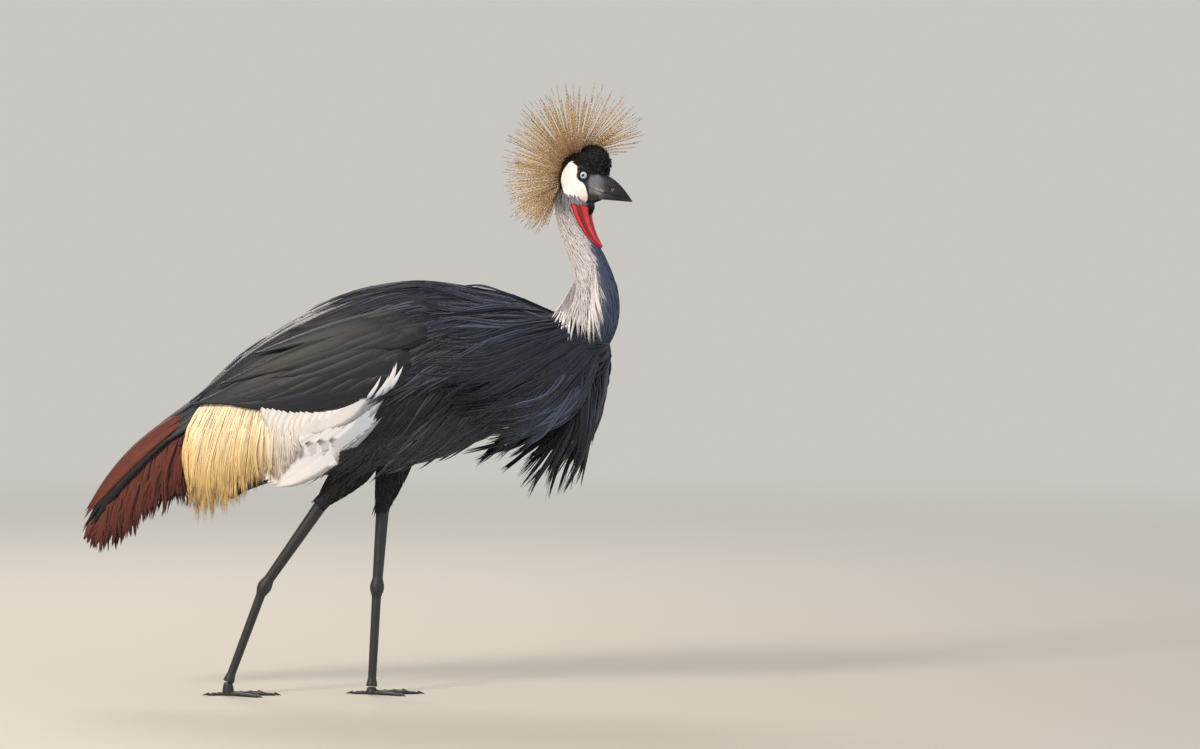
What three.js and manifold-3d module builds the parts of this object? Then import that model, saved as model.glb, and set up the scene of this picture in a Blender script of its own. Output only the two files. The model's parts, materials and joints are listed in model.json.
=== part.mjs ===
// Grey crowned crane, life size, standing still in mid stride with its head turned a little to its right.
// Millimetres. +X is ahead of the bird, +Y is to its left and +Z is up.
// The origin lies on the ground, under the middle of the bird's box.

import * as THREE from "three";
import { mergeVertices } from "three/addons/utils/BufferGeometryUtils.js";
import Module from "manifold-3d";

const wasm = await Module();
wasm.setup();

// Gap kept between neighbouring parts.
const GAP = 0.3;
// Slivers thinner than this, which cuts leave, are closed up.
const SLIVER = 0.06;

// Plumage colours and finishes.
const SLATE = { color: 0x2b2f38, roughness: 0.75 };
const SLATE_BLUE = { color: 0x333c4d, roughness: 0.7 };
const PALE_GREY = { color: 0xb9b7bd, roughness: 0.8 };
const WHITE = { color: 0xdcdde2, roughness: 0.8 };
const STRAW = { color: 0xd9b778, roughness: 0.75 };
const CHESTNUT = { color: 0x6e3326, roughness: 0.75 };
const BLACK = { color: 0x17171a, roughness: 0.7 };
const VELVET = { color: 0x0b0b0d, roughness: 0.9 };
const BARE_WHITE = { color: 0xf1eae6, roughness: 0.55 };
const BARE_RED = { color: 0xc4202c, roughness: 0.45 };
const HORN = { color: 0x23252b, roughness: 0.35 };
const LEG_SKIN = { color: 0x25262a, roughness: 0.6 };
const EYE = { color: 0x9fb6cc, roughness: 0.1 };

// Body sections from the breast (station 0) to the tail tip (station 11). x and z place the middle of a
// section, back and belly are its reach above and below, and side is its half width.
const BODY = [
  { x: 468, z: 651, back: 14, belly: 14, side: 14 },
  { x: 429, z: 644, back: 56, belly: 70, side: 54 },
  { x: 352, z: 629, back: 78, belly: 92, side: 80 },
  { x: 259, z: 618, back: 120, belly: 96, side: 96 },
  { x: 148, z: 596, back: 165, belly: 114, side: 102 },
  { x: 37, z: 566, back: 178, belly: 134, side: 100 },
  { x: -74, z: 537, back: 160, belly: 128, side: 90 },
  { x: -167, z: 507, back: 132, belly: 108, side: 74 },
  { x: -250, z: 466, back: 98, belly: 94, side: 56 },
  { x: -324, z: 414, back: 98, belly: 84, side: 44 },
  { x: -398, z: 355, back: 92, belly: 46, side: 34 },
  { x: -475, z: 283, back: 58, belly: 20, side: 18 },
];
// The torso closes to a rounded rump between these stations.
const RUMP_START = 6.9;
const RUMP_END = 8.5;
// How near the middle of the back the torso keeps its full height to its end, as cosines of the angle.
const RIDGE = [0.85, 0.97];

// Neck sections from inside the breast to inside the head.
const NECK = [
  { x: 405, z: 640, back: 40, belly: 40, side: 44 },
  { x: 431, z: 696, back: 46, belly: 44, side: 41 },
  { x: 437, z: 747, back: 38, belly: 38, side: 34 },
  { x: 426, z: 796, back: 32, belly: 31, side: 28 },
  { x: 407, z: 838, back: 28, belly: 28, side: 25 },
  { x: 394, z: 881, back: 29, belly: 28, side: 25 },
  { x: 394, z: 914, back: 31, belly: 31, side: 25 },
  { x: 400, z: 940, back: 26, belly: 26, side: 21 },
];
// Stations at which the neck is parted into lengths, and the plane that parts it from the breast.
const NECK_CUTS = [2.35, 4.6];
const NECK_ROOT = { x: 400, z: 694, lean: 24 };

// The head turns about an upright axis through this point, in degrees towards the right.
const HEAD = { x: 401, z: 958, turn: -15 };
// Head sections along the head's own x, from the back of the skull to the root of the bill.
const SKULL = [
  { x: -31, top: 12, bottom: -16, side: 8 },
  { x: -21, top: 33, bottom: -35, side: 19 },
  { x: -6, top: 44, bottom: -47, side: 24.5 },
  { x: 15, top: 45, bottom: -50, side: 26 },
  { x: 33, top: 38, bottom: -45, side: 22.5 },
  { x: 48, top: 22, bottom: -39, side: 16 },
  { x: 61, top: 2, bottom: -33, side: 10 },
];
const CAP = { x: 31, z: 25, long: 35.5, high: 38, side: 24 };
const NAPE = { x: 14, z: 28, long: 26, high: 19, side: 21 };
const EYE_BALL = { x: 19.3, z: 6, side: 19.5, radius: 8.8, lid: 1.7 };
const BILL = { root: 47, tip: 106, tipDrop: -42.5, mouth: -25, rootTop: 7, rootBottom: -38.5, side: 12 };
const NOSTRIL = { x: 66, z: -17.7, long: 5.9, high: 4.1 };
// Outline of the bare cheek patch in the head's side view, x and z, and how far it stands out.
const CHEEK = [
  [-0.9, 33.5],
  [6.8, 24],
  [8.8, 10],
  [14.9, -3.9],
  [22.2, -12.1],
  [26.4, -29.8],
  [24.7, -39.3],
  [19.9, -45.2],
  [11.3, -47.1],
  [0.4, -42],
  [-13.3, -33],
  [-22.6, -20],
  [-26, -6.2],
  [-23.5, 8.5],
  [-16.5, 21.5],
  [-8.5, 30],
];
const CHEEK_LIFT = 1.8;
// The wattle wraps the front of the neck from its first station to its last. reach is how far round it goes at
// each, in degrees from the middle of the throat, and lift its thickness at the middle and at its edges.
const WATTLE = { from: 5.95, to: 3.72, reach: [96, 9], lift: [5.6, 2.2], fold: 1.2 };
const THROAT = { x: 23, z: -48, long: 13, side: 11, high: 21 };
// The crest's bristles, and the part of a sphere about an axis up and back that they fill.
const CREST = { count: 50, length: 122, root: 0.95, lean: 47, spread: 114 };
// The bristles ahead of the crown's left side, and the rib of skin that they stand on.
const FAR_CREST = {
  count: 9,
  start: [-9, 15, 41],
  end: [17, 22.5, 37],
  radius: 6,
  heading: [64, 28],
  rise: [6, 62],
};

// How far the folded wing stands out from the flank at its thickest, and the thickness of a feather.
const WING_LIFT = 8;
const VANE = 0.9;
// The folded wing's reach over the body: its first and last station, and its upper and lower edge in degrees
// from the middle of the back, in front and behind.
const WING = { from: 4.1, to: 8.1, high: [44, 56], low: [100, 124] };
// Thickness of each layer of plumage, for what lies over it.
const FLANK_THICKNESS = 3.4;
const COVERT_THICKNESS = 9.2;
const PRIMARY_THICKNESS = 4;
const GOLD_THICKNESS = 5;
const SCAPULAR_THICKNESS = 11;
const SHOULDER_THICKNESS = 5;
// Share of the body's half width at which plumage leaves it and hangs straight down.
const DRAPE = 0.8;
const TAIL = { from: 8.55, to: 10.75, count: 5, half: 8, spread: [8, 4] };

// The cloak of scapulars over the wing, as one smooth sheet. It runs from the line of its roots to the line
// of its tips, and its upper and lower edges rise or sag by the shares of their length that bow gives.
const SCAPULARS = {
  roots: [[158, 726], [140, 700], [118, 668], [100, 640]],
  tips: [[-296, 544], [-262, 541], [-185, 537], [-111, 531], [-40, 541], [18, 564], [62, 600]],
  bow: [0.12, -0.05],
  lift: 7,
  sunk: -6,
  thick: 2.2,
  rows: 8,
  columns: 6,
};
// Tiers of feathers. roots and tips are lines of places in the side view, x and z, and the tier's feathers
// run between them from the first place to the last. bow bends each sideways, as a share of its length.
// half is the largest half width, at the share of the length that widest gives, and roll raises one edge
// and lowers the other, so that neighbours overlap like shingles. lift is the height of the feathers'
// middles over what they lie on, and sunk the height at their roots.
const COVERTS = [
  {
    count: 5,
    roots: [[66, 580], [34, 566], [-20, 555], [-70, 547]],
    tips: [[-70, 420], [-126, 394], [-166, 418], [-180, 465]],
    bow: 0.1,
    half: 19,
    widest: 0.65,
    lift: 2.6,
    sunk: 1.8,
    roll: 1.2,
    seed: 51,
    full: 150,
    strip: { reach: 9, rows: 1, thick: 1.8, depth: 5 },
    rows: 3,
    blunt: true,
  },
  {
    count: 5,
    roots: [[44, 590], [-20, 556], [-90, 546], [-130, 543]],
    tips: [[-12, 530], [-55, 502], [-102, 484], [-140, 480], [-162, 494]],
    bow: 0.06,
    half: 16,
    widest: 0.65,
    lift: 6,
    sunk: 4.2,
    roll: 1,
    seed: 61,
    full: 80,
    strip: { reach: 9, rows: 1, thick: 1.8, depth: 6 },
    rows: 3,
    blunt: true,
  },
];
const GOLD_PLUMES = [
  {
    count: 12,
    roots: [[-286, 541], [-231, 541], [-166, 536], [-130, 524]],
    tips: [[-315, 363], [-289, 303], [-248, 322], [-207, 356], [-170, 379], [-137, 425]],
    bow: -0.12,
    half: 10,
    widest: 0.45,
    lift: 5.4,
    sunk: 3,
    roll: 1.6,
    seed: 71,
    full: 200,
    strip: { reach: 10, rows: 1, thick: 2, depth: 6 },
    rows: 3,
    ragged: 0.1,
  },
];
const TAIL_CLOAK = [
  {
    count: 1,
    roots: [[-277, 545]],
    tips: [[-516, 332]],
    bow: -0.17,
    half: 11,
    widest: 0.6,
    lift: -0.6,
    sunk: -4.6,
    roll: 0,
    seed: 81,
    full: 300,
    strip: { reach: 10, rows: 1, thick: 2, depth: 0 },
    rows: 5,
  },
  {
    count: 9,
    roots: [[-276, 540], [-312, 508], [-354, 476], [-402, 438], [-448, 390], [-484, 350]],
    tips: [[-312, 327], [-361, 315], [-390, 306], [-418, 283], [-449, 259], [-492, 255], [-512, 276]],
    bow: -0.07,
    half: 11,
    widest: 0.5,
    lift: -3.2,
    sunk: -4.9,
    roll: 1.4,
    seed: 91,
    full: 120,
    strip: { reach: 9, rows: 1, thick: 3, depth: 0 },
    rows: 3,
    ragged: 0.08,
  },
];
const PRIMARIES = [
  {
    count: 1,
    roots: [[-282, 526]],
    tips: [[-516, 300]],
    bow: -0.17,
    half: 17,
    widest: 0.5,
    lift: 3,
    sunk: 2.6,
    roll: 0.6,
    seed: 101,
    full: 300,
    strip: { reach: 12, rows: 1, thick: 1.6, depth: 0 },
    rows: 9,
    blunt: true,
  },
];
const SHOULDER_PLUMES = [
  {
    count: 6,
    roots: [[300, 706], [290, 650], [272, 590]],
    tips: [[70, 746], [44, 690], [46, 600], [62, 524], [112, 488]],
    bow: 0.07,
    half: 13,
    widest: 0.4,
    lift: 5.6,
    sunk: 2.8,
    roll: 1.6,
    seed: 121,
    full: 230,
    strip: { reach: 86, rows: 2, thick: 2.2, depth: 7 },
    rows: 3,
    ragged: 0.14,
  },
  {
    count: 6,
    roots: [[372, 694], [388, 650], [384, 606]],
    tips: [[176, 750], [146, 690], [152, 612], [176, 544], [222, 508]],
    bow: 0.08,
    half: 12.5,
    widest: 0.4,
    lift: 10,
    sunk: 5.4,
    roll: 1.6,
    seed: 141,
    full: 210,
    strip: { reach: 10, rows: 1, thick: 1.8, depth: 2.6 },
    rows: 3,
    ragged: 0.14,
  },
];
const RUFF = [
  {
    count: 5,
    roots: [[396, 724], [425, 738], [462, 738]],
    tips: [[338, 698], [384, 650], [432, 628], [470, 626]],
    bow: 0.08,
    half: 11,
    widest: 0.45,
    lift: 12,
    sunk: -5,
    roll: 1.8,
    seed: 161,
    full: 90,
    strip: { reach: 10, rows: 1, thick: 2, depth: 0 },
    rows: 3,
    ragged: 0.12,
  },
];
const FLANK_PLUMES = [
  {
    count: 6,
    roots: [[262, 556], [150, 516], [56, 484]],
    tips: [[150, 458], [76, 421], [-16, 400], [-124, 379]],
    bow: 0.06,
    half: 11,
    widest: 0.4,
    lift: 3.4,
    sunk: 1.8,
    roll: 1.4,
    seed: 181,
    full: 120,
    strip: { reach: 10, rows: 1, thick: 2, depth: 6 },
    rows: 3,
    ragged: 0.1,
  },
];
// Plumes that hang from the breast. Each row is rooted along the body at one angle from the back, over the
// stations given, and its tips lie along the line of places in the side view.
const BREAST_PLUMES = {
  count: 5,
  angles: [132, 156, 180],
  stations: [0.8, 2.7],
  tips: [[438, 520], [415, 418], [377, 351], [344, 344], [300, 366], [252, 386], [186, 436]],
  half: 10,
  widest: 0.35,
  seed: 201,
  rows: 3,
  strip: { turn: 7, height: 7.8, rows: 1, thick: 1.8, depth: 3.4 },
  // Share of the root's distance from the middle that a tip keeps, and how far outer rows hang higher.
  spread: 0.62,
  step: 0.3,
};
// The skin that carries them, between two stations and as far each way round from the middle of the belly.
const BIB = { from: 0.72, to: 2.8, reach: 59, inner: 3, outer: 5.4, studs: [1.2, 2.4] };
const STUD = 2.2;

// Legs, hip to toe. The left leg is under the body and the right one trails.
const LEGS = {
  left: {
    thigh: { x: 74, y: 26, z: 474 },
    shank: { x: 41, y: 28, z: 352 },
    ankle: { x: 30, y: 18, z: 198 },
    heel: { x: 20, y: 10, z: 13 },
  },
  right: {
    thigh: { x: 12, y: -26, z: 446 },
    shank: { x: -64, y: -30, z: 366 },
    ankle: { x: -178, y: -18, z: 203 },
    heel: { x: -245, y: -12, z: 24 },
  },
};
const THIGH = { top: 36, bottom: 14 };
const SHANK = { top: 12.5, bottom: 9.5 };
const ANKLE = { radius: 13, long: 19 };
const TARSUS = { top: 8.5, bottom: 7.5 };
const PAD = { radius: 11, high: 13 };
// Each toe's length without its claw, heading from straight ahead and half width.
const TOES = [
  { name: "inner", length: 56, heading: -34, half: 4.6 },
  { name: "middle", length: 76, heading: 2, half: 5 },
  { name: "outer", length: 60, heading: 36, half: 4.6 },
  { name: "hind", length: 26, heading: 172, half: 4.2 },
];
const CLAW = { length: 13, half: 2.6 };

const GOLDEN_ANGLE = Math.PI * (3 - Math.sqrt(5));

// A number between low and high that is always the same for the same seed.
function vary(seed, low, high) {
  const spread = Math.sin(seed * 12.9898 + 78.233) * 43758.5453;
  return mix(low, high, spread - Math.floor(spread));
}

function mix(a, b, share) {
  return a + (b - a) * share;
}

// A hump from 0 through 1 at the middle and back to 0.
function hump(share) {
  return Math.sin(Math.PI * THREE.MathUtils.clamp(share, 0, 1));
}

// A closed three.js geometry as a solid.
function solid(geometry) {
  const bare = geometry.clone();
  for (const name of Object.keys(bare.attributes)) {
    if (name !== "position") bare.deleteAttribute(name);
  }
  const merged = mergeVertices(bare, 1e-4);
  const made = new wasm.Manifold(
    new wasm.Mesh({
      numProp: 3,
      vertProperties: new Float32Array(merged.attributes.position.array),
      triVerts: new Uint32Array(merged.index.array),
    }),
  );
  return made.volume() < 0 ? turnedOut(merged) : made;
}

// The same solid with its faces turned round.
function turnedOut(merged) {
  const triVerts = new Uint32Array(merged.index.array).reverse();
  const vertProperties = new Float32Array(merged.attributes.position.array);
  return new wasm.Manifold(new wasm.Mesh({ numProp: 3, vertProperties, triVerts }));
}

function fuse(solids) {
  return solids.reduce((sum, piece) => sum.add(piece));
}

function cutClear(body, neighbours) {
  return neighbours.reduce((rest, piece) => rest.subtract(piece), body);
}

// The largest closed surface of a solid.
function largest(body) {
  return body.decompose().reduce((best, piece) => (piece.volume() > best.volume() ? piece : best));
}

function part(name, body, finish) {
  const mesh = largest(body).simplify(SLIVER).getMesh();
  const positions = new Float32Array(mesh.numVert * 3);
  for (let i = 0; i < mesh.numVert; i += 1) {
    positions.set(mesh.vertProperties.subarray(i * mesh.numProp, i * mesh.numProp + 3), i * 3);
  }
  const geometry = new THREE.BufferGeometry();
  geometry.setAttribute("position", new THREE.BufferAttribute(positions, 3));
  geometry.setIndex(new THREE.BufferAttribute(mesh.triVerts, 1));
  geometry.computeVertexNormals();
  const made = new THREE.Mesh(geometry, new THREE.MeshStandardMaterial({ metalness: 0, ...finish }));
  made.name = name;
  return made;
}

// A tube of sections: each vertex of a unit cylinder goes where place puts it, from its share along,
// its angle round (0 is up, 90 degrees is left) and its distance from the axis (0 or 1).
function loft(around, along, place) {
  const geometry = new THREE.CylinderGeometry(1, 1, 1, around, along);
  const spots = geometry.attributes.position;
  const spot = new THREE.Vector3();
  for (let i = 0; i < spots.count; i += 1) {
    spot.fromBufferAttribute(spots, i);
    const reach = Math.min(1, Math.hypot(spot.x, spot.z));
    const placed = place(spot.y + 0.5, Math.atan2(spot.x, spot.z), reach);
    spots.setXYZ(i, placed.x, placed.y, placed.z);
  }
  return geometry;
}

// Rows of sections along a line in the bird's middle plane, with a point for each station, angle and lift.
// The body runs backwards and angle 0 is its back. The neck runs up in the other sense, from its nape.
class Sections {
  constructor(stations, sense) {
    this.last = stations.length - 1;
    this.sense = sense;
    this.line = Sections.curve(stations.map((s) => new THREE.Vector3(s.x, 0, s.z)));
    this.size = Sections.curve(stations.map((s) => new THREE.Vector3(s.back, s.belly, s.side)));
  }

  static curve(points) {
    return new THREE.CatmullRomCurve3(points, false, "catmullrom", 0.5);
  }

  point(station, angle, lift = 0, reach = 1) {
    const share = THREE.MathUtils.clamp(station / this.last, 0, 1);
    const middle = this.line.getPoint(share);
    const along = this.line.getTangent(share);
    const up = new THREE.Vector3(along.z, 0, -along.x).multiplyScalar(this.sense);
    const size = this.size.getPoint(share);
    const high = Math.cos(angle) > 0 ? size.x : size.y;
    const out = new THREE.Vector2(Math.cos(angle) / high, Math.sin(angle) / size.z).normalize();
    const rise = reach * high * Math.cos(angle) + lift * out.x;
    const sideways = reach * size.z * Math.sin(angle) + lift * out.y;
    return middle.addScaledVector(up, rise).add(new THREE.Vector3(0, sideways, 0));
  }

  // The direction that faces out from the surface at a station and angle.
  outward(station, angle) {
    return this.point(station, angle, 1).sub(this.point(station, angle)).normalize();
  }

  // The station, as a share, whose section passes through a place in the side view.
  shareAt(place) {
    let [low, high] = [0, 1];
    for (let i = 0; i < 20; i += 1) {
      const share = (low + high) / 2;
      const beyondIt = place.clone().sub(this.line.getPoint(share)).dot(this.line.getTangent(share)) > 0;
      [low, high] = beyondIt ? [share, high] : [low, share];
    }
    return low;
  }

  // Where a place in the side view meets the surface, lift out from it: the half width there, the
  // direction that faces out, and the station and angle.
  meet(x, z, lift) {
    const place = new THREE.Vector3(x, 0, z);
    const share = this.shareAt(place);
    const along = this.line.getTangent(share);
    const up = new THREE.Vector3(along.z, 0, -along.x).multiplyScalar(this.sense);
    const size = this.size.getPoint(share);
    const rise = place.sub(this.line.getPoint(share)).dot(up);
    const high = (rise > 0 ? size.x : size.y) + lift;
    const wide = size.z + lift;
    const level = THREE.MathUtils.clamp(rise / high, -0.998, 0.998);
    const flat = Math.sqrt(1 - level * level);
    const face = up.multiplyScalar(level / high).add(new THREE.Vector3(0, flat / wide, 0)).normalize();
    const angle = THREE.MathUtils.radToDeg(Math.acos(level));
    return { y: wide * flat, wide, flat, face, station: share * this.last, angle };
  }
}

const body = new Sections(BODY, 1);
const neck = new Sections(NECK, -1);

function torsoSolid(margin) {
  const shrink = (station, angle) => {
    const share = (station - RUMP_START) / (RUMP_END - RUMP_START);
    const closing = share <= 0 ? 1 : Math.sqrt(Math.max(0.02, 1 - share * share));
    return mix(closing, 1, THREE.MathUtils.smoothstep(Math.cos(angle), ...RIDGE));
  };
  return solid(
    loft(16, 11, (share, angle, reach) => {
      const station = RUMP_END * share;
      return body.point(station, angle, reach * margin, reach * shrink(station, angle));
    }),
  );
}

function neckSolid(margin) {
  return solid(
    loft(12, 10, (share, angle, reach) => neck.point(neck.last * share, angle, reach * margin, reach)),
  );
}

// Half of space beyond a plane that leans from upright, as a large block.
function beyond(point, direction) {
  const size = 1200;
  const block = new THREE.BoxGeometry(size, size, size);
  block.translate(0, 0, size / 2);
  const turn = new THREE.Quaternion().setFromUnitVectors(new THREE.Vector3(0, 0, 1), direction);
  block.applyQuaternion(turn);
  block.translate(point.x, point.y, point.z);
  return solid(block);
}

// Both sides of a cut of one gap's width through a station of the neck.
function neckCut(station, sign) {
  const share = station / neck.last;
  const along = neck.line.getTangent(share).multiplyScalar(sign);
  return beyond(neck.line.getPoint(share).addScaledVector(along, GAP / 2), along);
}

function neckRootCut(sign) {
  const lean = THREE.MathUtils.degToRad(NECK_ROOT.lean);
  const along = new THREE.Vector3(Math.sin(lean), 0, Math.cos(lean)).multiplyScalar(sign);
  const point = new THREE.Vector3(NECK_ROOT.x, 0, NECK_ROOT.z);
  return beyond(point.addScaledVector(along, GAP / 2), along);
}

// A closed shell over body or neck between two stations and two angles, in degrees, from one lift to another.
function shell({ trunk, from, to, high, low, inner, outer, side, rows, columns }) {
  const spots = [];
  const count = (rows + 1) * (columns + 1);
  for (const lift of [outer, inner]) {
    for (let i = 0; i <= rows; i += 1) {
      for (let j = 0; j <= columns; j += 1) {
        const along = i / rows;
        const down = j / columns;
        const angle = THREE.MathUtils.degToRad(mix(high(along), low(along), down));
        const spot = trunk.point(mix(from, to, along), angle, lift(along, down));
        spots.push(spot.setY(side * spot.y));
      }
    }
  }
  return closedSheet(spots, count, rows, columns);
}

// Joins two like grids of points, front and back, into one closed body.
function closedSheet(spots, count, rows, columns) {
  const faces = [];
  const at = (i, j) => i * (columns + 1) + j;
  for (let i = 0; i < rows; i += 1) {
    for (let j = 0; j < columns; j += 1) {
      faces.push([at(i, j), at(i + 1, j), at(i + 1, j + 1)], [at(i, j), at(i + 1, j + 1), at(i, j + 1)]);
    }
  }
  return slab(spots.slice(0, count), spots.slice(count), faces);
}

// The folded wing's height over the flank at a station and an angle in degrees.
function wingHeight(station, angle) {
  const along = (station - WING.from) / (WING.to - WING.from);
  const down = (angle - mix(...WING.high, along)) / (mix(...WING.low, along) - mix(...WING.high, along));
  return along > 0 && along < 1 && down > 0 && down < 1 ? 1 + WING_LIFT * (hump(along) * hump(down)) ** 0.7 : 0;
}

// How much a value lies between low and high, with soft edges of the width given.
function within(value, low, high, edge) {
  const { smoothstep } = THREE.MathUtils;
  return smoothstep(value, low - edge, low) * (1 - smoothstep(value, high, high + edge));
}

// Heights over the body, at a place in the side view, of what each layer of plumage lies on.
const layers = {
  body: () => 0,
  wing: (x, z) => {
    const { station, angle } = body.meet(x, z, 0);
    return wingHeight(station, angle) + FLANK_THICKNESS * within(x, -140, 300, 30) * within(z, 300, 530, 30);
  },
  coverts: (x, z) => layers.wing(x, z) + COVERT_THICKNESS * within(x, -190, 70, 25) * within(z, 380, 560, 30),
  primaries: (x, z) => layers.coverts(x, z) + PRIMARY_THICKNESS * within(x, -400, -250, 25),
  gold: (x, z) => layers.primaries(x, z) + GOLD_THICKNESS * within(x, -400, -130, 30) * within(z, 300, 548, 50),
  shoulder: (x, z) => SHOULDER_THICKNESS * within(x, 200, 400, 30) * within(z, 560, 720, 30),
  scapulars: (x, z) => {
    const over = within(x, -300, 130, 60) * within(z, 540, 760, 30);
    return layers.coverts(x, z) + SCAPULAR_THICKNESS * over;
  },
};

// The flesh and bone of the folded wing against the flank, a lens that thins to its edges.
function wingSolid(side, margin) {
  return shell({
    trunk: body,
    from: WING.from,
    to: WING.to,
    high: (along) => mix(...WING.high, along) - margin,
    low: (along) => mix(...WING.low, along) + margin,
    outer: (along, down) =>
      margin + 1 + WING_LIFT * hump(mix(0.02, 0.98, along)) ** 0.7 * hump(mix(0.02, 0.98, down)) ** 0.7,
    inner: () => -2 - margin,
    side,
    rows: 6,
    columns: 4,
  });
}

// A feather as a function that gives, at a share of its length, its two edges: a place and the way up there.
// Shares below 0 lie on the strip of skin ahead of its root.
function feather({ path, face, half, roll = 0, settle = () => {} }) {
  return (share) => {
    const along = path(Math.min(1, share + 0.03)).sub(path(Math.max(-1, share - 0.03))).normalize();
    const across = along.cross(face(share)).normalize();
    const up = face(share);
    return [-1, 1].map((edge) => {
      const spot = path(share).addScaledVector(across, edge * half(Math.max(0, share)));
      settle(spot, share);
      return { spot: spot.addScaledVector(up, edge * roll * (share > 0 ? 1 : 0)), up, across };
    });
  };
}

// A row of feathers that grow from one strip of skin, as one closed body. strip gives the skin's thickness
// and the number of rows that it has ahead of the roots.
function comb(feathers, rows, strip) {
  const [top, bottom, faces] = [[], [], []];
  const put = ({ spot, up }, thick) => {
    top.push(spot.clone().addScaledVector(up, thick / 2));
    bottom.push(spot.clone().addScaledVector(up, -thick / 2));
    return top.length - 1;
  };
  const quad = (a, b, c, d) => faces.push([a, b, c], [a, c, d]);
  const [first, next] = [feathers[0](0), feathers[Math.min(1, feathers.length - 1)](0)];
  const forward = next[0].spot.clone().sub(first[0].spot).dot(first[0].across) >= 0;
  let before = null;
  for (const edges of feathers) {
    const skin = [];
    for (let i = 0; i <= strip.rows; i += 1) {
      const pair = edges(strip.rows > 0 ? i / strip.rows - 1 : 0);
      if (!forward) pair.reverse();
      skin.push(pair.map((edge) => put(edge, strip.thick)));
      if (i > 0) quad(skin[i - 1][0], skin[i - 1][1], skin[i][1], skin[i][0]);
      if (i > 0 && before) quad(before[i - 1][1], skin[i - 1][0], skin[i][0], before[i][1]);
    }
    let last = skin[strip.rows];
    for (let i = 1; i <= rows; i += 1) {
      const pair = edges(i / rows);
      if (!forward) pair.reverse();
      const level = pair.map((edge) => put(edge, VANE * mix(1, 0.6, i / rows)));
      quad(last[0], last[1], level[1], level[0]);
      last = level;
    }
    before = skin;
  }
  return slab(top, bottom, faces);
}

// The studs that hold a comb to what lies under it, below the skin of its first and last feather.
function studs(feathers, strip) {
  return [feathers[0], feathers[feathers.length - 1]].map((edges) => {
    const [a, b] = edges(-0.5);
    const top = a.spot.clone().lerp(b.spot, 0.5);
    return limb(top, top.clone().addScaledVector(a.up, -strip.depth), STUD, STUD, 4, 1);
  });
}

// A closed body between two like sets of points, split alike on both faces, with walls round its open edges.
function slab(top, bottom, faces) {
  const count = top.length;
  const edges = new Set(faces.flatMap(([a, b, c]) => [`${a} ${b}`, `${b} ${c}`, `${c} ${a}`]));
  const index = faces.flatMap(([a, b, c]) => [a, b, c, count + a, count + c, count + b]);
  for (const edge of edges) {
    const [a, b] = edge.split(" ").map(Number);
    if (!edges.has(`${b} ${a}`)) index.push(b, a, count + a, b, count + a, count + b);
  }
  const geometry = new THREE.BufferGeometry().setFromPoints([...top, ...bottom]);
  geometry.setIndex(index);
  return solid(geometry);
}

// Where the plumage's surface is at a place in the side view, over whichever of body and neck is wider.
// Below the body's widest it hangs straight down.
function surface(x, z, lift) {
  const [trunk, throat] = [body.meet(x, z, lift), neck.meet(x, z, lift)];
  const hanging = DRAPE * trunk.wide;
  if (throat.y > trunk.y && throat.y > hanging) return throat;
  if (trunk.angle < 90 || trunk.y > hanging) return trunk;
  return { ...trunk, y: hanging, flat: 1, face: new THREE.Vector3(0, 1, 0) };
}

function places(list) {
  const spots = list.map(([x, z]) => new THREE.Vector3(x, 0, z));
  return spots.length > 1 ? Sections.curve(spots) : { getPoint: () => spots[0].clone() };
}

// A place on one side at a height over the layer below, and the way that it faces.
function laid(x, z, height, side, under) {
  const found = surface(x, z, height + under(x, z));
  return { place: new THREE.Vector3(x, side * found.y, z), face: found.face.setY(side * found.face.y) };
}

// The feathers of one tier on one side of the body, over the layer whose height under gives, with the strip
// of skin that carries their roots. Short feathers are narrower.
function tierSolid(tier, side, under) {
  const { count, half, widest, rows, seed, lift, sunk, roll, strip, ragged = 0.04, blunt = false } = tier;
  const [roots, tips] = [places(tier.roots), places(tier.tips)];
  const feathers = Array.from({ length: count }, (_, k) => {
    const share = count > 1 ? k / (count - 1) : 0;
    const root = roots.getPoint(share);
    const tip = tips.getPoint(share).lerp(root, vary(seed + k, 0, ragged));
    const reach = tip.clone().sub(root);
    const heading = reach.clone().normalize();
    const size = Math.min(1, mix(0.3, 1, reach.length() / tier.full));
    const width = half * size * vary(seed + k + 0.25, 0.92, 1.08);
    const bow = -tier.bow * vary(seed + k + 0.5, 0.9, 1.1);
    const bend = root.clone().lerp(tip, 0.5);
    bend.add(new THREE.Vector3(reach.z, 0, -reach.x).multiplyScalar(bow));
    const route = new THREE.QuadraticBezierCurve3(root, bend, tip);
    const height = (along) => mix(sunk, lift, THREE.MathUtils.smoothstep(along, 0, 0.22));
    const ahead = (along) => root.clone().addScaledVector(heading, along * strip.reach);
    const spot = (along) => {
      const { x, z } = along < 0 ? ahead(along) : route.getPoint(along);
      return laid(x, z, height(along), side, under);
    };
    return feather({
      path: (along) => spot(along).place,
      face: (along) => spot(along).face,
      settle: (edge, along) => {
        const found = surface(edge.x, edge.z, height(along) + under(edge.x, edge.z));
        edge.y = mix(edge.y, side * found.y, THREE.MathUtils.smoothstep(found.flat, 0.45, 0.7));
      },
      half: (along) => width * outline(along, widest, blunt),
      roll: side * roll,
    });
  });
  return fuse([comb(feathers, rows, strip), ...(strip.depth ? studs(feathers, strip) : [])]);
}

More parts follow.
